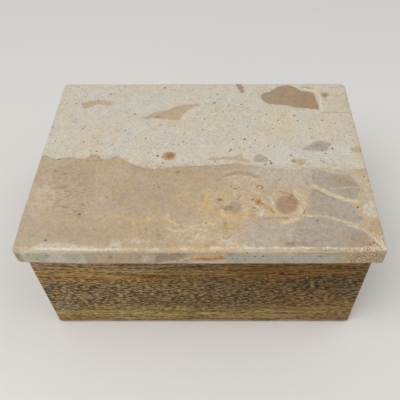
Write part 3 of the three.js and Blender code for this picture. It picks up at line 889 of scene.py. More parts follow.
CHIPS = [  # (x, y from the slab's back left corner, reach, depth)
    (58, 0, 4.0, 0.9), (131, 184, 5.0, 0.5), (243, 184, 4.0, 0.7), (254, 120, 4.0, 0.7), (0, 66, 5.0, 0.6),
    (171, 0, 6.0, 0.7), (17, 184, 4.0, 0.6), (222, 184, 3.0, 0.5), (254, 33, 3.5, 0.6), (0, 139, 3.0, 0.5),
]
CHIP_RAGGEDNESS = 1.5
CHIP_LUMP = 1.8
CHIP_CORE = 0.35  # the share of a chip's reach that is all of its depth
ROUGH_CORNER = (254, 184, 16.0, 0.25)  # the same as a chip: the front right corner was never polished
ROUGH_CORE = 0.3
ROUGH_LUMP = 1.3
ROUGH_SPREAD = 0.2  # more makes the bites in the rough corner wider
FRONT_BLEND = (0.6, 2.6)  # depths between which the front face's pattern takes over from the top's
FRONT_MARGIN = 1.0  # how far behind the slab's front this pattern reaches in full
PIT_DEPTH = 1.0
PATTERN_SLANT = (0.25, 0.45)  # how far the patches lean per millimetre of depth
TOP_WANDER = 0.8  # how far the patches' edges wander
FRONT_WANDER = 0.5
WANDER_LUMP = 6.0
TAN_RIM = (0.9, 0.7)  # how far inside the tan zone its darker rim runs, and half its width


def nearness(points, x, y, start, reach, ragged=0.0):
    """1 within start of a place and 0 beyond reach, in plan; x and y are from the back left corner."""
    away = np.linalg.norm(points[:, :2] - (x - SLAB_HALF[0], SLAB_HALF[1] - y), axis=1)
    return 1 - smooth_share(away + ragged, start, reach)


def slab_points():
    """The slab's lattice about its own centre, with its underside closed by rings and one flat face."""
    points, faces = lattice(*(spaced(-half, half, SLAB_SPACING) for half in SLAB_HALF), open_bottom=True)
    ring = boundary_loop(faces)
    points, ring = turn_in(points, faces, ring, SLAB_HALF, SLAB_UNDER_RING_STEP, SLAB_UNDER_RINGS)
    faces.append(ring)
    return points, faces


def round_slab_edges(points, distance, direction):
    """Rounds the slab's long edges unevenly, with chips, and more at the front corners."""
    plan = points * (1, 1, 0)
    swing = noise_at(plan, SLAB_ARRIS_LUMP, 1.0) * SLAB_ARRIS_SWING
    ragged = noise_at(plan, CHIP_LUMP, 5.0) * CHIP_RAGGEDNESS
    for x, y, reach, depth in CHIPS:
        swing += depth * nearness(points, x, y, reach * CHIP_CORE, reach, ragged)
    ends = zip((0, SLAB_SIZE[0]), SLAB_CORNER_REACH)
    left, right = (nearness(points, x, SLAB_SIZE[1], 0, reach) for x, reach in ends)
    over = SLAB_TOP_ARRIS + swing + SLAB_FRONT_CORNER_ARRIS * left ** 3
    more_under = SLAB_UNDER_CORNER_ARRIS[0] * left + SLAB_UNDER_CORNER_ARRIS[1] * right
    under = SLAB_UNDER_ARRIS + swing * SLAB_UNDER_SWING + more_under
    round_arris(points, distance, direction, SLAB_HALF[2], over, 1)
    round_arris(points, distance, direction, -SLAB_HALF[2], under, -1)


def wear_slab_sides(points, distance, direction):
    """Makes the slab's sides uneven, and bites into its rough corner."""
    side = 1 - smooth_share(distance, 0, SLAB_TOP_ARRIS)
    broad, fine = (noise_at(points, size, seed) for size, seed in zip(SLAB_SIDE_LUMPS, (2.0, 6.0)))
    highest = 1 + SLAB_SIDE_FINE
    lumps = (broad + SLAB_SIDE_FINE * fine + highest) / (2 * highest)
    points[:, :2] -= direction * (side * lumps * SLAB_SIDE_SWING)[:, None]
    x, y, reach, depth = ROUGH_CORNER
    bites = np.maximum(noise_at(points, ROUGH_LUMP, 9.0) + ROUGH_SPREAD, 0)
    near = nearness(points, x, y, reach * ROUGH_CORE, reach)
    points[:, :2] -= direction * (side * bites * depth * near)[:, None]


def write_attribute(piece, name, values):
    piece.data.attributes.new(name, "FLOAT", "POINT").data.foreach_set("value", values.astype(np.float32))


def slab_patches(piece, points):
    """Writes the stone's patches to the slab, those of the front face taking over below its edge. Along the
    front edge some of them are painted highlight.
    """
    top = np.column_stack([points[:, 0] - SLAB_LOW[0], SLAB_HIGH[1] - points[:, 1]])
    depth = SLAB_HIGH[2] - points[:, 2]
    wander = np.column_stack([noise_at(points, WANDER_LUMP, seed) for seed in (3.0, 8.0)])
    leaning = top + wander * TOP_WANDER + depth[:, None] * PATTERN_SLANT
    front = np.column_stack([top[:, 0], depth]) + wander * FRONT_WANDER
    full = SLAB_SIZE[1] - FRONT_MARGIN
    near_front = smooth_share(top[:, 1], full - SLAB_TOP_ARRIS, full)
    share = smooth_share(depth, *FRONT_BLEND) * near_front
    for kind in PATCH_KINDS:
        above = patch_field(leaning, kind, TOP_OUTLINES, TOP_BLOBS, TOP_VEINS)
        if kind == "pit":
            above -= np.maximum(depth - PIT_DEPTH, 0)
        below = patch_field(front, kind, FRONT_OUTLINES, FRONT_BLOBS, FRONT_VEINS)
        write_attribute(piece, kind, above * (1 - share) + below * share)
        if kind == "tan":
            rim = TAN_RIM[1] - np.abs(above - TAN_RIM[0])
            write_attribute(piece, "tan_rim", np.where(share < 0.5, rim, FAR_OUTSIDE))


def lid_slab():
    points, faces = slab_points()
    distance, direction = round_plan(points, SLAB_HALF, SLAB_CORNERS)
    distance = np.maximum(distance, 0)
    round_slab_edges(points, distance, direction)
    wear_slab_sides(points, distance, direction)
    points += (SLAB_LOW + SLAB_HIGH) / 2
    piece = make_mesh("breccia_lid_slab", points, faces)
    slab_patches(piece, points)
    dress(piece, "lid", stone_material(), "lid_slab")


# Box boards

BOARD_ARRIS = 1.2
BOARD_TOP_ARRIS = 0.7
BOARD_ARRIS_SWINGS = (0.35, 0.25, 0.4)  # of the upright corners, the top's edge and the underside's
BOARD_ARRIS_LUMPS = (9.0, 12.0, 14.0)  # how long the swings of each are
BOARD_SPACING = 2.6
BOARD_INSIDE_STEP = 5.0
BOARD_RELIEF = 0.1
BOARD_RELIEF_LUMP = 7.0
BOARD_RELIEF_STRETCH = 4  # how many times longer its lumps are along the board
BOARD_RELIEF_REACH = 1.0  # how deep below the board's outside it has any effect
MITRE_GAP = 0.106  # from the true mitre plane to the board's end, half of a glue line
GROOVE_CLEARANCE = 0.3
SPLINE_SLOT = (2.9, 8.4)
SPLINE_TOP_CLEARANCE = 0.2
SLOT_OVERRUN = 5.0
SMOOTH_ANGLE = math.radians(32)
BOARDS = ["front_board", "right_end_board", "back_board", "left_end_board"]  # each a quarter turn further

FRONT_LOW, FRONT_HIGH = node_box("front_board")
BOX_HALF = -np.array([node_box("left_end_board")[0][0], FRONT_LOW[1]])
BOARD_THICKNESS = FRONT_HIGH[1] - FRONT_LOW[1]
BOARD_FOOT, BOARD_TOP = FRONT_LOW[2], FRONT_HIGH[2]


def block(name, low, high, turn=0.0, place=(0, 0)):
    """A plain block that cuts another piece."""
    points, faces = lattice(*zip(low, high))
    turned = points.copy()
    turned[:, 0] = points[:, 0] * math.cos(turn) - points[:, 1] * math.sin(turn) + place[0]
    turned[:, 1] = points[:, 0] * math.sin(turn) + points[:, 1] * math.cos(turn) + place[1]
    return make_mesh(name, turned, faces, smooth=False)


def board_cutters():
    """The groove for the bottom panel, and the slots for the four splines."""
    low, high = node_box("bottom_panel")
    found = [block("groove_cutter", low - GROOVE_CLEARANCE, high + GROOVE_CLEARANCE)]
    half = np.array(SPLINE_SLOT) / 2
    for corner in CORNERS:
        low, high = node_box("mitre_spline_" + corner)
        x, y = ((low + high) / 2)[:2]
        turn = math.atan2(math.copysign(1, y), math.copysign(1, x))
        bottom, top = low[2] - SLOT_OVERRUN, high[2] + SPLINE_TOP_CLEARANCE
        found.append(block("slot_cutter", (*-half, bottom), (*half, top), turn, (x, y)))
    return found


def cut(piece, cutters):
    for cutter in cutters:
        modifier = piece.modifiers.new("cut", "BOOLEAN")
        modifier.operation, modifier.solver, modifier.object = "DIFFERENCE", "EXACT", cutter
    apply_modifiers(piece)
    piece.data.set_sharp_from_angle(angle=SMOOTH_ANGLE)


def quarter_turned(points, quarters):
    """The points turned about Z by a number of quarter turns."""
    turned = points.copy()
    for _ in range(quarters):
        turned[:, 0], turned[:, 1] = -turned[:, 1].copy(), turned[:, 0].copy()
    return turned


def board_block(half):
    """A front board's block, with its ends on the mitre planes."""
    shares = edged(-half[0], half[0], BOARD_ARRIS, BOARD_SPACING) / half[0]
    depths = np.concatenate([BOARD_ARRIS * EDGE_STEPS[:5], [BOARD_INSIDE_STEP, BOARD_THICKNESS]])
    points, faces = lattice(shares, depths, edged(BOARD_FOOT, BOARD_TOP, BOARD_ARRIS, BOARD_SPACING))
    points[:, 0] *= half[0] - MITRE_GAP - points[:, 1]
    points[:, 1] -= half[1]
    return points, faces


def board(node, quarters, cutters):
    """A mitred board, made as a front board and turned to its side."""
    half = BOX_HALF if quarters % 2 == 0 else BOX_HALF[::-1]
    points, faces = board_block(half)
    corner_swing, top_swing, under_swing = BOARD_ARRIS_SWINGS
    corner_lump, top_lump, under_lump = BOARD_ARRIS_LUMPS
    radii = same_corners(BOARD_ARRIS + corner_swing * noise_at(points * (0, 0, 1), corner_lump, quarters))
    distance, direction = round_plan(points, half, radii)
    inside = np.maximum(distance, 0)
    plan = points * (1, 1, 0)
    top_arris = BOARD_TOP_ARRIS + top_swing * noise_at(plan, top_lump, quarters)
    under_arris = BOARD_ARRIS + under_swing * noise_at(plan, under_lump, quarters + 4)
    round_arris(points, inside, direction, BOARD_TOP, top_arris, 1)
    round_arris(points, inside, direction, BOARD_FOOT, under_arris, -1)
    relief = noise_at(points / (BOARD_RELIEF_STRETCH, 1, 1), BOARD_RELIEF_LUMP, quarters + 2) + 1
    relief *= distance < BOARD_RELIEF_REACH
    points[:, :2] -= direction * (relief * BOARD_RELIEF / 2)[:, None]
    piece = make_mesh("wood_" + node, quarter_turned(points, quarters), faces)
    cut(piece, cutters)
    dress(piece, "box", box_wood(node, quarters), node)


def box_boards():
    cutters = board_cutters()
    for quarters, node in enumerate(BOARDS):
        board(node, quarters, cutters)
    for cutter in cutters:
        bpy.data.objects.remove(cutter)


# Wood

# Colours of the bands that run along the front board, by the share of the way down from its top. The first,
# darkest stop is painted shadow under the lid's overhang, at the top of the front and back boards.
WOOD_BANDS_AND_PAINTED_SHADOW = [
    (0.0, srgb(110, 90, 62)), (0.03, srgb(164, 134, 108)), (0.12, srgb(168, 136, 102)),
    (0.17, srgb(176, 142, 80)), (0.31, srgb(166, 132, 70)), (0.38, srgb(134, 113, 76)),
    (0.5, srgb(130, 109, 73)), (0.57, srgb(140, 118, 79)), (0.65, srgb(130, 109, 74)),
    (0.71, srgb(116, 97, 65)), (0.79, srgb(164, 139, 86)), (0.88, srgb(186, 159, 94)),
    (0.95, srgb(176, 144, 86)), (1.0, srgb(180, 149, 98)),
]
# painted shade, partly the wood's own darker tone: it darkens the box's right end, most at its top under the
# lid
WOOD_PAINTED_SHADE = srgb(176, 155, 108)  # what the box's right end is tinted with, most at its top
WOOD_SWAY = 9.0  # how far the bands wander up and down
WOOD_RISE = 11.0  # how much higher the bands are at the board's right end
WOOD_RISE_SPAN = (10.0, 122.0)  # where along the board they rise
WOOD_WAVE = 7.0  # how far the streaks and dashes wander up and down
WOOD_SHIFT = 137.0  # how far the wood's pattern is moved from one board to the next
WOOD_GOLD = srgb(166, 114, 44)
WOOD_GREY = srgb(118, 110, 92)
WOOD_RED = srgb(132, 80, 44)
WOOD_OLIVE = srgb(112, 106, 50)
WOOD_DASH = srgb(46, 29, 6)
WOOD_STAIN = srgb(138, 94, 42)
STAIN_REACH = (46, 22)  # distances from the corner where the stain starts and where it is full
STAIN_RISE = (12, 6)  # the same for heights over the board's foot
RUBBED_CORNER = (2.2, 0.6)  # the same for the rubbed corners, as distances from the box's side
RUBBED_FOOT = (1.2, 4.0)  # heights over the board's foot up to which it is rubbed in full and at all
WOOD_FLECK = srgb(198, 174, 124)
WOOD_ORANGE = srgb(172, 106, 36)
WOOD_DARK = srgb(84, 66, 40)
WOOD_PALE = srgb(206, 182, 120)
WOOD_PINK = srgb(172, 140, 118)
WOOD_SILVER = srgb(164, 152, 126)
WOOD_WORN = srgb(186, 156, 118)
# Areas of another hue: size along, up and across the board, shift, colour and strength.
WOOD_HUES = [((8.0, 3.2, 5.0), (0, 0, 0), WOOD_RED, 0.42), ((9.0, 2.8, 5.0), (20, 31, 7), WOOD_OLIVE, 0.4)]
# Patches of the front board: place along it and height, reach along it and rise, colour and strength.
FRONT_PATCHES = [
    (-114, 84, 7, 6, WOOD_PINK, 0.5), (-83, 70, 22, 5, WOOD_GOLD, 0.5), (-42, 84, 9, 4, WOOD_SILVER, 0.45),
    (-33, 69, 18, 7, WOOD_GOLD, 0.9), (-5, 85, 11, 4, WOOD_DARK, 0.6), (-2, 70, 5, 3, WOOD_SILVER, 0.4),
    (-111, 27, 11, 10, WOOD_SILVER, 0.45), (12, 65, 8, 9, WOOD_GREY, 0.6), (30, 77, 10, 8, WOOD_GOLD, 0.6),
    (58, 77, 21, 8, WOOD_ORANGE, 0.75), (98, 79, 18, 7, WOOD_GOLD, 0.6), (88, 61, 26, 11, WOOD_DARK, 0.7),
    (117, 57, 9, 8, WOOD_GREY, 0.6), (88, 32, 30, 12, WOOD_GOLD, 0.4), (60, 16, 8, 6, WOOD_SILVER, 0.45),
    (20, 39, 44, 7, WOOD_DARK, 0.5), (-60, 11, 28, 6, WOOD_PALE, 0.5), (12, 13, 11, 6, WOOD_PALE, 0.5),
]


def along_grain(s, quarters, shift):
    """The place as (along the board, height, across), moved so that no two boards are alike."""
    x, y, z = s.split(s.where)
    along, across = (x, y) if quarters % 2 == 0 else (y, x)
    return s.joined(along, z, across) + (shift, 0, shift / 3)


def wood_down(s, grain, quarters):
    """The share of the way down the board, as its bent bands run. Bands are upside down on the ends."""
    sway = (s.noise((95, 70, 40), grain, detail=3.0) - 0.5) * (2 * WOOD_SWAY)
    rise = s.step(s.split(s.where)[0], *WOOD_RISE_SPAN) * WOOD_RISE
    down = ((BOARD_TOP - s.split(grain)[1]) + (sway + rise)) / (BOARD_TOP - BOARD_FOOT)
    return 1.0 - down if quarters % 2 else down


def wood_patches(s, colour):
    """Lays the front board's own patches over its bands, with ragged edges."""
    x, _, z = s.split(s.where)
    ragged = (s.noise((14, 4, 4), detail=4.0, roughness=0.6) - 0.5) * 3.0
    for along, height, reach, rise, hue, strength in FRONT_PATCHES:
        across, up = (x - along) / reach, (z - height) / rise
        away = s.math("SQRT", across * across + up * up)
        colour = s.mix(s.step(away + ragged, 1.3, 0.5) * strength, colour, hue)
    return colour


def wood_ground(s, grain, bent, down, quarters):
    """The bands, with broader gold and grey areas, patches and smaller areas of other hues."""
    wide_gold = s.step(s.noise((60, 12, 30), grain), 0.46, 0.66)
    gold = wide_gold * s.step(s.noise((14, 3, 9), grain), 0.36, 0.6)
    colour = s.mix(gold * (0.75 if quarters else 0.35), s.ramp(down, *WOOD_BANDS_AND_PAINTED_SHADOW), WOOD_GOLD)
    grey = s.step(s.noise((26, 8, 20), grain + (9, 71, 3), detail=3.0), 0.56, 0.7)
    colour = s.mix(grey * (0.6 if quarters else 0.3), colour, WOOD_GREY)
    if quarters == 0:
        colour = wood_patches(s, colour)
    for size, shift, hue, strength in WOOD_HUES:
        area = s.step(s.noise(size, bent + shift, detail=3.0), 0.5, 0.62)
        colour = s.mix(area * strength, colour, hue)
    return colour


def wood_streaks(s, bent, colour, fleck, middle):
    """Long dark and pale streaks, weak in the speckled middle. Returns (colour, streaks)."""
    streaks = s.noise((40.0, 2.5, 6.0), bent + (3, 40, 1), detail=3.0, roughness=0.55)
    outside = 1.0 - middle * 0.7
    colour = s.mix(s.step(streaks, 0.5, 0.59) * outside * 0.55, colour, WOOD_DASH)
    pale = (1.0 - s.step(streaks, 0.38, 0.47)) * outside
    return s.mix(pale * 0.55, colour, fleck), streaks


def wood_dashes(s, bent, colour, middle):
    """Short dark dashes. Returns (colour, share of dashes)."""
    dashes = s.step(s.noise((5.8, 1.15, 4.2), bent + (50, 3, 1), roughness=0.6), 0.47, 0.55)
    return s.mix(dashes * (middle * 0.4 + 0.42), colour, WOOD_DASH), dashes


def wood_flecks(s, grain, colour, fleck, middle):
    """Short pale and dark flecks, slanted by the interlocked grain. Returns (colour, flecks)."""
    along, height, across = s.split(grain)
    slope = s.noise((90, 60, 30), grain) - 0.2
    lean = along + (height - (BOARD_FOOT + BOARD_TOP) / 2) * slope
    flecks = s.noise((3.7, 1.2, 3.0), s.joined(lean, height, across), detail=1.5)
    strength = middle * 0.38 + 0.54
    colour = s.mix(s.step(flecks, 0.51, 0.6) * strength, colour, fleck)
    return s.tint(s.step(flecks, 0.47, 0.4) * strength, colour, 0.5), flecks


def wood_fibres(s, bent, colour):
    """Long thin fibres, and pores. Returns (colour, share of pores)."""
    fibres = s.step(s.noise((30.0, 0.65, 3.0), bent), 0.42, 0.6)
    colour = s.tint(fibres, s.tint(1.0, colour, 1.14), 0.74)
    pores = 1.0 - s.step(s.cells((3.4, 0.7, 1.2), bent), 0.12, 0.28)
    return s.mix(pores * 0.5, colour, WOOD_DASH), pores


def wood_corner_stain(s):
    """Along the foot of the boards, at the box's front corners."""
    x, y, z = s.split(s.where)
    away = s.math("MAXIMUM", BOX_HALF[0] - s.math("ABSOLUTE", x), y + BOX_HALF[1])
    return s.step(away, *STAIN_REACH) * s.step(z, *(BOARD_FOOT + rise for rise in STAIN_RISE))


def wood_rubbed(s):
    """The box's upright corners and its bottom edge."""
    x, y, z = s.split(s.where)
    near_x, near_y = (
        s.step(s.math("ABSOLUTE", value), *(half - reach for reach in RUBBED_CORNER))
        for value, half in zip((x, y), BOX_HALF)
    )
    bottom = 1.0 - s.step(z, *(BOARD_FOOT + rise for rise in RUBBED_FOOT))
    rubbed = s.math("MAXIMUM", near_x * near_y * 0.6, bottom)
    return rubbed * s.step(s.noise(9.0, s.where + (4, 4, 4), detail=3.0), 0.4, 0.6)


def wood_painted_shade_and_wear(s, colour, down, streaks):
    """Paints shade over the box towards its right end, most at its top under the lid, stains its front
    corners golden brown and rubs its edges pale.
    """
    # painted shade: darker towards the box's right end and the top of the boards under the lid's edge, partly
    # the wood's own tone
    right = s.step(s.split(s.where)[0] / BOX_HALF[0], -0.85, 0.55) * (1.0 - down * 0.75)
    colour = s.mix(right, colour, s.mix(1.0, colour, WOOD_PAINTED_SHADE, blend="MULTIPLY"))
    stain = wood_corner_stain(s) * s.step(streaks, 0.62, 0.46)
    colour = s.mix(stain * 0.7, colour, WOOD_STAIN)
    return s.mix(wood_rubbed(s) * 0.6, colour, WOOD_WORN)


def box_wood(name, quarters):
    """Dark wood with interlocked grain: wandering bands, short dark dashes and slanted pale flecks, with
    painted shade towards the right end and under the lid.
    """
    s = Shader("wood_" + name, Specular_IOR_Level=0.12)
    grain = along_grain(s, quarters, WOOD_SHIFT * quarters)
    along, height, across = s.split(grain)
    bent = s.joined(along, height + (s.noise((34, 16, 20), grain) - 0.5) * WOOD_WAVE, across)
    down = wood_down(s, grain, quarters)
    middle = s.step(down, 0.2, 0.48) * (1.0 - s.step(down, 0.64, 0.88))
    colour = wood_ground(s, grain, bent, down, quarters)
    fleck = s.mix(0.4, WOOD_FLECK, s.tint(1.0, colour, 1.8))
    colour, streaks = wood_streaks(s, bent, colour, fleck, middle)
    colour, dashes = wood_dashes(s, bent, colour, middle)
    colour, flecks = wood_flecks(s, grain, colour, fleck, middle)
    colour, pores = wood_fibres(s, bent, colour)
    colour = wood_painted_shade_and_wear(s, colour, down, streaks)
    relief = flecks * 0.4 - dashes * 0.4 - pores * 0.4
    return s.finish(colour, flecks * 0.22 + 0.42, s.bump(relief, 0.14))


def plain_wood():
    """Paler, plainer wood for what lies inside."""
    s = Shader("plain_wood", Specular_IOR_Level=0.35)
    grain = along_grain(s, 0, 61.0)
    rings = s.step(s.noise((180, 30, 14), grain, detail=3.0), 0.38, 0.62)
    streaks = s.noise((60, 1.6, 1.6), grain, detail=4.0, roughness=0.6)
    pores = 1.0 - s.step(s.cells((3.5, 0.6, 0.6), grain), 0.1, 0.22)
    colour = s.mix(rings, srgb(128, 92, 58), srgb(170, 134, 92))
    colour = s.tint(pores, s.tint(s.step(streaks, 0.45, 0.65), colour, 0.78), 0.6)
    return s.finish(colour, streaks * 0.2 + 0.5, s.bump(streaks * 0.6 - pores * 0.5, 0.1))


def hardboard():
    """Pressed wood fibre, smooth and brown, with flecks."""
    s = Shader("hardboard", Specular_IOR_Level=0.3)
    flecks = s.noise((2.2, 2.2, 0.6), detail=5.0, roughness=0.7)
    colour = s.mix(s.step(flecks, 0.35, 0.65), srgb(92, 66, 45), srgb(128, 96, 68))
    return s.finish(colour, flecks * 0.2 + 0.6, s.bump(s.noise(0.7, detail=3.0), 0.08))


def keep_nodes():
    """Gives the CAD nodes whose shape is right their finishes."""
    wood = plain_wood()
    for node in ["bottom_panel", "lid_locating_panel"] + ["mitre_spline_" + corner for corner in CORNERS]:
        paint(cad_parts[node], wood)
    paint(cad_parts["pad_board"], hardboard())


# Felt

FELT_SPACING = 3.0
FELT_EDGE = 0.45
FELT_EDGE_THICKNESS = 0.55  # the share of its thickness that felt has at its edge
FELT_WAVE = 0.12
FELT_WAVE_LUMP = 16.0
FELT_FRAY = 0.12
FELT_FRAY_LUMP = 2.0
FELT_BROWN = srgb(82, 60, 44)
FELT_DARK = srgb(56, 40, 30)
FELT_PALE = srgb(112, 88, 68)
DISC_SIDES = 48
DISC_FRAY = 0.02
DISC_FRAY_WAVES = 5
DISC_FRAY_START = 0.9  # the share of the radius where it starts
DISC_PROFILE = [  # (share of the radius, share of the height) from the underside up
    (0.45, 0.0), (0.78, 0.0), (0.93, 0.02), (0.985, 0.1), (1.0, 0.3), (1.0, 0.7), (0.985, 0.9), (0.93, 0.98),
    (0.78, 1.0), (0.45, 1.0),
]


def felt():
    """Matted wool: fibres in all directions, small pills and a soft surface."""
    s = Shader("felt", Specular_IOR_Level=0.08, Sheen_Weight=0.15, Sheen_Roughness=0.6, Sheen_Tint=FELT_PALE)
    first = s.noise((0.35, 2.6, 0.9), detail=3.0, roughness=0.6, distortion=1.2)
    second = s.noise((2.4, 0.35, 1.8), detail=3.0, roughness=0.6, distortion=1.4)
    fibres = s.math("MAXIMUM", first, second)
    colour = s.mix(s.step(fibres, 0.45, 0.7), FELT_DARK, FELT_BROWN)
    colour = s.mix(s.step(s.noise(0.5), 0.66, 0.76), colour, FELT_PALE)
    colour = s.tint(s.step(s.noise(22.0), 0.4, 0.65), colour, 0.88)
    return s.finish(colour, fibres * 0.1 + 0.85, s.bump(fibres + s.noise(1.6) * 0.5, 0.25))


def felt_sheet(name, body, material, node):
    """A thin felt sheet with soft edges, a little uneven, in the place of its CAD solid."""
    low, high = node_box(node)
    half = (high - low) / 2
    thin = int(np.argmin(half))
    wide = [n for n in range(3) if n != thin]
    axes = [edged(-h, h, FELT_EDGE, FELT_SPACING) for h in half]
    axes[thin] = np.array([-half[thin], 0, half[thin]])
    points, faces = lattice(*axes)
    reach = np.min([half[n] - np.abs(points[:, n]) for n in wide], axis=0)
    soft = np.sqrt(np.clip(1 - (1 - np.clip(reach / FELT_EDGE, 0, 1)) ** 2, 0, 1))
    swell = FELT_EDGE_THICKNESS + (1 - FELT_EDGE_THICKNESS) * soft
    points[:, thin] *= swell - FELT_WAVE * (noise_at(points, FELT_WAVE_LUMP, 5.0) + 1) * 0.5
    fray = FELT_FRAY * (noise_at(points, FELT_FRAY_LUMP, 4.0) + 1)
    for n in wide:
        at_edge = np.abs(points[:, n]) > half[n] - TINY
        points[at_edge, n] -= np.sign(points[at_edge, n]) * fray[at_edge]
    piece = make_mesh(name, points + (low + high) / 2, faces)
    dress(piece, body, material, node)


def felt_disc(node, material):
    """A felt foot with a soft edge, pressed a little thinner at the rim."""
    low, high = node_box(node)
    middle, radius = ((low + high) / 2)[:2], (high[0] - low[0]) / 2
    angles = 2 * math.pi * np.arange(DISC_SIDES) / DISC_SIDES
    rings = []
    for share, rise in DISC_PROFILE:
        fray = 1 - DISC_FRAY * (1 + np.sin(DISC_FRAY_WAVES * angles + middle[0])) * (share > DISC_FRAY_START)
        plan = middle + (radius * share * fray)[:, None] * np.column_stack([np.cos(angles), np.sin(angles)])
        rings.append(np.column_stack([plan, np.full(DISC_SIDES, low[2] + (high[2] - low[2]) * rise)]))
    points, faces, ring = rings[0], [], list(range(DISC_SIDES))
    under = sides_of(ring)
    for placed in rings[1:]:
        points, ring = add_ring(points, faces, ring, placed)
    centre = len(points)
    points = np.vstack([points, (*middle, low[2]), (*middle, high[2])])
    faces += [[centre, b, a] for a, b in under] + [[centre + 1, a, b] for a, b in sides_of(ring)]
    piece = make_mesh("felt_" + node, points, faces)
    dress(piece, "box", material, node)
    wide = float(2 * radius * MM)


def felt_pieces():
    material = felt()
    for side in ("front", "back", "left", "right"):
        felt_sheet(f"felt_{side}_lining", "box", material, side + "_lining")
    felt_sheet("felt_under_lid", "lid", material, "lid_felt")
    for corner in CORNERS:
        felt_disc("foot_pad_" + corner, material)


# Display pad

PAD_LOW, PAD_HIGH = node_box("pad_cover")
PAD_HALF = (PAD_HIGH - PAD_LOW)[:2] / 2
PAD_BOARD_LOW, PAD_BOARD_HIGH = node_box("pad_board")
FOAM_LOW, FOAM_HIGH = node_box("pad_foam")
PAD_SKIN = PAD_HALF[0] - (FOAM_HIGH - FOAM_LOW)[0] / 2
PAD_SHOULDER = FOAM_LOW[2] + 6.0  # the height where the crown starts
COVER_GAP = 0.2  # between the cover and the board inside it
COVER_THICKNESS = PAD_BOARD_LOW[2] - PAD_LOW[2] - COVER_GAP
PAD_CORNER = 5.0
CROWN_POWER = 2.8
SHOULDER_STEPS = np.array([0, 0.35, 0.9, 1.7, 2.8, 4.2, 6.0, 8.4])
SHOULDER_REACH = 12
COVER_TURN_UNDER = 15.0
COVER_TURN_ANGLES = (30, 60, 90)  # in degrees, where the bend under the board has a row of points
COVER_SPACING = 4.2
COVER_SIDE_SPACING = 1.6
COVER_SLACK = 1.3  # how far the simulation may move a point
SIMULATION_STEPS = 20
HELD_RISE = 0.5  # how far above the board's top the cover is still held
HEM_ROWS = 5
CLOTH = {
    "vertex_group_mass": "held", "use_pressure": True, "uniform_pressure_force": 3.0, "quality": 6,
    "mass": 0.2, "tension_stiffness": 12, "compression_stiffness": 12, "shear_stiffness": 6,
    "bending_stiffness": 0.6,
}
VELVET_SHEEN = srgb(176, 132, 104)


def crown_rise(distance):
    """The share of the crown's height at a distance from the pad's side."""
    share = np.clip(distance / (PAD_HALF[1] - PAD_CORNER), 0, 1)
    return (1 - (1 - share) ** CROWN_POWER) ** (1 / CROWN_POWER)


def crown_shell():
    """The cover's crown and sides, open below. Returns (points, faces, outward direction)."""
    foot, board_top = PAD_BOARD_LOW[2], PAD_BOARD_HIGH[2]
    side = spaced(board_top + COVER_GAP, PAD_SHOULDER, COVER_SIDE_SPACING)
    levels = np.concatenate([[foot, (foot + board_top) / 2], side])
    axes = [stepped(-half, half, SHOULDER_STEPS, SHOULDER_REACH, COVER_SPACING) for half in PAD_HALF]
    points, faces = lattice(*axes, levels, open_bottom=True)
    top = points[:, 2] > PAD_SHOULDER - TINY
    distance, direction = round_plan(points, PAD_HALF, same_corners(PAD_CORNER))
    points[top, 2] += crown_rise(np.maximum(distance, 0))[top] * (PAD_HIGH[2] - PAD_SHOULDER)
    return points, faces, direction


def pad_shell():
    """The cover's outer face before it is simulated, with the part that is turned under the board."""
    points, faces, direction = crown_shell()
    ring = boundary_loop(faces)
    edge, outward = points[ring], direction[ring]
    skin = PAD_BOARD_LOW[2] - PAD_LOW[2]
    for angle in np.radians(COVER_TURN_ANGLES):
        placed = edge.copy()
        placed[:, :2] -= outward * skin * (1 - math.cos(angle))
        placed[:, 2] -= skin * math.sin(angle)
        points, ring = add_ring(points, faces, ring, placed)
    hem_step = (COVER_TURN_UNDER - skin) / HEM_ROWS
    return turn_in(points, faces, ring, PAD_HALF, hem_step, HEM_ROWS)[0], faces


def simulate(piece, held):
    """Swells the piece as cloth, holding the vertices in held. Returns its new points in millimetres."""
    group = piece.vertex_groups.new(name=CLOTH["vertex_group_mass"])
    group.add([int(n) for n in held], 1.0, "REPLACE")
    settings = piece.modifiers.new("swell", "CLOTH").settings
    for name, value in CLOTH.items():
        setattr(settings, name, value)
    settings.effector_weights.gravity = 0
    scene = bpy.context.scene
    for step in range(1, SIMULATION_STEPS + 1):
        scene.frame_set(step)
    evaluated = piece.evaluated_get(bpy.context.evaluated_depsgraph_get())
    found = np.array([v.co for v in evaluated.data.vertices]) / MM
    piece.modifiers.clear()
    piece.vertex_groups.clear()
    scene.frame_set(1)
    return found


def swell(cover, points):
    """Moves the cover's points as the simulation does, but none further than the slack."""
    held = np.flatnonzero(points[:, 2] < PAD_BOARD_HIGH[2] + HELD_RISE)
    moved = simulate(cover, held) - points
    reach = np.linalg.norm(moved, axis=1)
    points = points + moved * (np.minimum(reach, COVER_SLACK) / np.maximum(reach, TINY))[:, None]
    cover.data.vertices.foreach_set("co", (points * MM).ravel())
    cover.data.update()


def velvet():
    """Cut pile, brushed a little this way and that, with a soft sheen."""
    sheen = {"Sheen_Weight": 0.5, "Sheen_Roughness": 0.4, "Sheen_Tint": VELVET_SHEEN}
    s = Shader("velvet", Specular_IOR_Level=0.06, **sheen)
    brushed = s.noise((34, 14, 16), distortion=0.4)
    pile = s.noise(0.32, roughness=0.7)
    colour = s.mix(s.step(brushed, 0.32, 0.66), srgb(76, 49, 35), srgb(90, 60, 43))
    colour = s.tint(s.step(pile, 0.45, 0.62), colour, 0.7)
    return s.finish(colour, brushed * 0.1 + 0.82, s.bump(pile * 0.7 + s.noise(3.0) * 0.3, 0.25))


def foam_finish():
    """Open foam, pale and full of small holes."""
    s = Shader("foam", Specular_IOR_Level=0.1)
    holes = s.cells(0.9)
    colour = s.mix(s.step(holes, 0.2, 0.5), srgb(196, 184, 152), srgb(226, 218, 196))
    return s.finish(colour, holes * 0.2 + 0.75, s.bump(holes, 0.4))


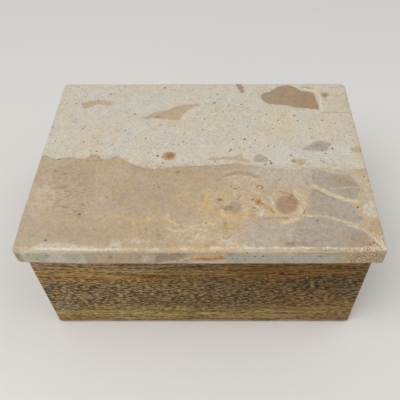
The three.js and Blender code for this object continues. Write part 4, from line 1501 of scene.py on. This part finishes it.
def foam_block(cover):
    """The foam fills the cover down to the board: the cover's crown and sides, moved in and closed below."""
    mesh = cover.data
    points = np.array([v.co for v in mesh.vertices]) / MM
    normals = np.array([v.normal for v in mesh.vertices])
    faces = [list(p.vertices) for p in mesh.polygons]
    kept = [f for f in faces if points[f, 2].max() > PAD_BOARD_HIGH[2]]
    used = sorted({n for f in kept for n in f})
    place = {n: k for k, n in enumerate(used)}
    inner = points[used] - normals[used] * PAD_SKIN
    kept = [[place[n] for n in f] for f in kept]
    ring = boundary_loop(kept)
    inner[ring, 2] = FOAM_LOW[2]
    inner[:, 2] = np.maximum(inner[:, 2], FOAM_LOW[2])
    piece = make_mesh("foam_block", inner, kept + [ring])
    piece.data.set_sharp_from_angle(angle=SMOOTH_ANGLE)
    dress(piece, "display_pad", foam_finish(), "pad_foam")


def pad_cover():
    """The velvet cover, simulated, and the foam inside it."""
    points, faces = pad_shell()
    cover = make_mesh("velvet_pad_cover", points, faces)
    swell(cover, points)
    foam_block(cover)
    smooth = cover.modifiers.new("smooth", "SUBSURF")
    smooth.levels = smooth.render_levels = 1
    shell = cover.modifiers.new("shell", "SOLIDIFY")
    shell.thickness, shell.offset = COVER_THICKNESS * MM, -1
    apply_modifiers(cover)
    dress(cover, "display_pad", velvet(), "pad_cover")
    return cover


# Pull ribbons

RIBBON_GAP = 0.2
RIBBON_THICKNESS = 0.6
RIBBON_EDGE = 0.65  # the share of its thickness that the ribbon has at its long edges
RIBBON_RIB = 0.85
RIBBON_RIB_HEIGHT = 0.07
RIBBON_STEPS_PER_RIB = 4
RIBBON_COLUMNS = 14
RIBBON_LINE_POINTS = 400
RIBBON_LINE_POWER = 2.2  # gathers the line's points at the shoulder, where it bends most
RIBBON_OFFSET = (2.0, 1.5)  # how far outside and above its line each point starts before it meets the cover


def ribbon_material():
    """Grosgrain: ribs across the ribbon, of fine threads that run along it."""
    s = Shader("grosgrain", Specular_IOR_Level=0.3, Sheen_Weight=0.3)
    threads = s.noise((3.0, 0.22, 0.5), roughness=0.6)
    colour = s.mix(s.step(threads, 0.35, 0.65), srgb(122, 92, 60), srgb(160, 126, 86))
    colour = s.tint(s.step(s.noise(9.0), 0.45, 0.7), colour, 0.9)
    return s.finish(colour, threads * 0.25 + 0.45, s.bump(threads, 0.1))


def ribbon_line(low, high):
    """The ribbon's middle line over the pad's end, as (distance in from the end, height) points, and
    its length."""
    reach = high[0] - low[0] - RIBBON_THICKNESS
    inward = reach * np.linspace(0, 1, RIBBON_LINE_POINTS) ** RIBBON_LINE_POWER
    over = np.column_stack([inward, PAD_SHOULDER + crown_rise(inward) * (PAD_HIGH[2] - PAD_SHOULDER)])
    line = np.vstack([[0, low[2]], over])
    lengths = np.concatenate([[0], np.cumsum(np.linalg.norm(np.diff(line, axis=0), axis=1))])
    steps = int(lengths[-1] / RIBBON_RIB * RIBBON_STEPS_PER_RIB)
    even = np.linspace(0, lengths[-1], steps + 1)
    return np.column_stack([np.interp(even, lengths, line[:, n]) for n in range(2)]), lengths[-1]


def ribbon_layers(line, width, side, cover):
    """The ribbon's underside and top on the cover, by layer, place along it and place across it."""
    surface = BVHTree.FromObject(cover, bpy.context.evaluated_depsgraph_get())
    across = side * np.linspace(width / 2, -width / 2, RIBBON_COLUMNS + 1)
    layers = np.empty((2, len(line), len(across), 3))
    for n, (inward, height) in enumerate(line):
        rib = 0.5 - 0.5 * math.cos(2 * math.pi * n / RIBBON_STEPS_PER_RIB)
        thickness = RIBBON_THICKNESS - RIBBON_RIB_HEIGHT * (1 - rib)
        for k, y in enumerate(across):
            x = side * (PAD_HALF[0] - inward + RIBBON_OFFSET[0])
            place, normal, _, _ = surface.find_nearest(Vector((x, y, height + RIBBON_OFFSET[1])) * MM)
            place, normal = np.array(place) / MM, np.array(normal)
            place[1] = y
            share = RIBBON_EDGE if k in (0, RIBBON_COLUMNS) else 1
            layers[0, n, k] = place + normal * RIBBON_GAP
            layers[1, n, k] = place + normal * (RIBBON_GAP + thickness * share)
    return layers


def pull_ribbon(node, side, cover, material):
    low, high = node_box(node)
    width = high[1] - low[1]
    line, length = ribbon_line(low, high)
    layers = ribbon_layers(line, width, side, cover)
    keys, faces = lattice(*(range(count) for count in (len(line), RIBBON_COLUMNS + 1, 2)))
    piece = make_mesh("grosgrain_" + node, layers[keys[:, 2], keys[:, 0], keys[:, 1]], faces)
    dress(piece, "display_pad", material, node)


def display_pad():
    cover = pad_cover()
    material = ribbon_material()
    for name, side in (("left", -1), ("right", 1)):
        pull_ribbon("pull_ribbon_" + name, side, cover, material)


# Light, floor and camera

CAMERA_PLACE = (15.056, -280.469, 387.086)
CAMERA_PITCH = 0.8655
CAMERA_YAW = -0.0067
CAMERA_ROLL = 0.0063
CAMERA_LENS = 44.58
CAMERA_SENSOR = 36.0
CAMERA_SHIFT = -0.0477
CAMERA_CLIP = (0.01, 20)  # in metres
FLOOR_REACH = 3000.0
WORLD_STRENGTH = 0.46
LAMP_SIZE = 1.2  # in metres
LAMPS = {"key": ((-0.58, -0.5, 1.38), 12), "fill": ((0.75, -0.1, 1.2), 4.2)}  # place in metres and power


def add_to_scene(name, data):
    made = bpy.data.objects.new(name, data)
    bpy.context.scene.collection.objects.link(made)
    return made


def add_camera():
    data = bpy.data.cameras.new("photo_camera")
    data.lens, data.sensor_width, data.shift_x = CAMERA_LENS, CAMERA_SENSOR, CAMERA_SHIFT
    data.clip_start, data.clip_end = CAMERA_CLIP
    level = math.cos(CAMERA_PITCH)
    forward = Vector((math.sin(CAMERA_YAW) * level, math.cos(CAMERA_YAW) * level, -math.sin(CAMERA_PITCH)))
    flat_right = Vector((math.cos(CAMERA_YAW), -math.sin(CAMERA_YAW), 0))
    down = forward.cross(flat_right)
    right = math.cos(CAMERA_ROLL) * flat_right + math.sin(CAMERA_ROLL) * down
    turn = Matrix((right, right.cross(forward), -forward)).transposed().to_4x4()
    camera = add_to_scene("photo_camera", data)
    camera.matrix_world = Matrix.Translation(Vector(CAMERA_PLACE) * MM) @ turn
    bpy.context.scene.camera = camera


def add_floor():
    corners = [(x * FLOOR_REACH, y * FLOOR_REACH, 0) for x, y in ((-1, -1), (1, -1), (1, 1), (-1, 1))]
    piece = make_mesh("floor", corners, [[0, 1, 2, 3]])
    s = Shader("pale_floor", Roughness=0.9, Specular_IOR_Level=0.2)
    piece.data.materials.append(s.finish(s.mix(s.noise(400.0), srgb(225, 223, 219), srgb(221, 219, 215))))


def add_light():
    world = bpy.data.worlds.new("studio")
    world.use_nodes = True
    background = world.node_tree.nodes["Background"].inputs
    background["Color"].default_value = (1, 1, 1, 1)
    background["Strength"].default_value = WORLD_STRENGTH
    bpy.context.scene.world = world
    for name, (place, power) in LAMPS.items():
        data = bpy.data.lights.new(name, "AREA")
        data.shape, data.size, data.energy = "DISK", LAMP_SIZE, power
        lamp = add_to_scene(name, data)
        lamp.location = place
        lamp.rotation_euler = (-Vector(place)).to_track_quat("-Z", "Y").to_euler()


add_camera()
add_floor()
add_light()
lid_slab()
box_boards()
keep_nodes()
felt_pieces()
display_pad()

bpy.context.scene.view_settings.view_transform = "Standard"
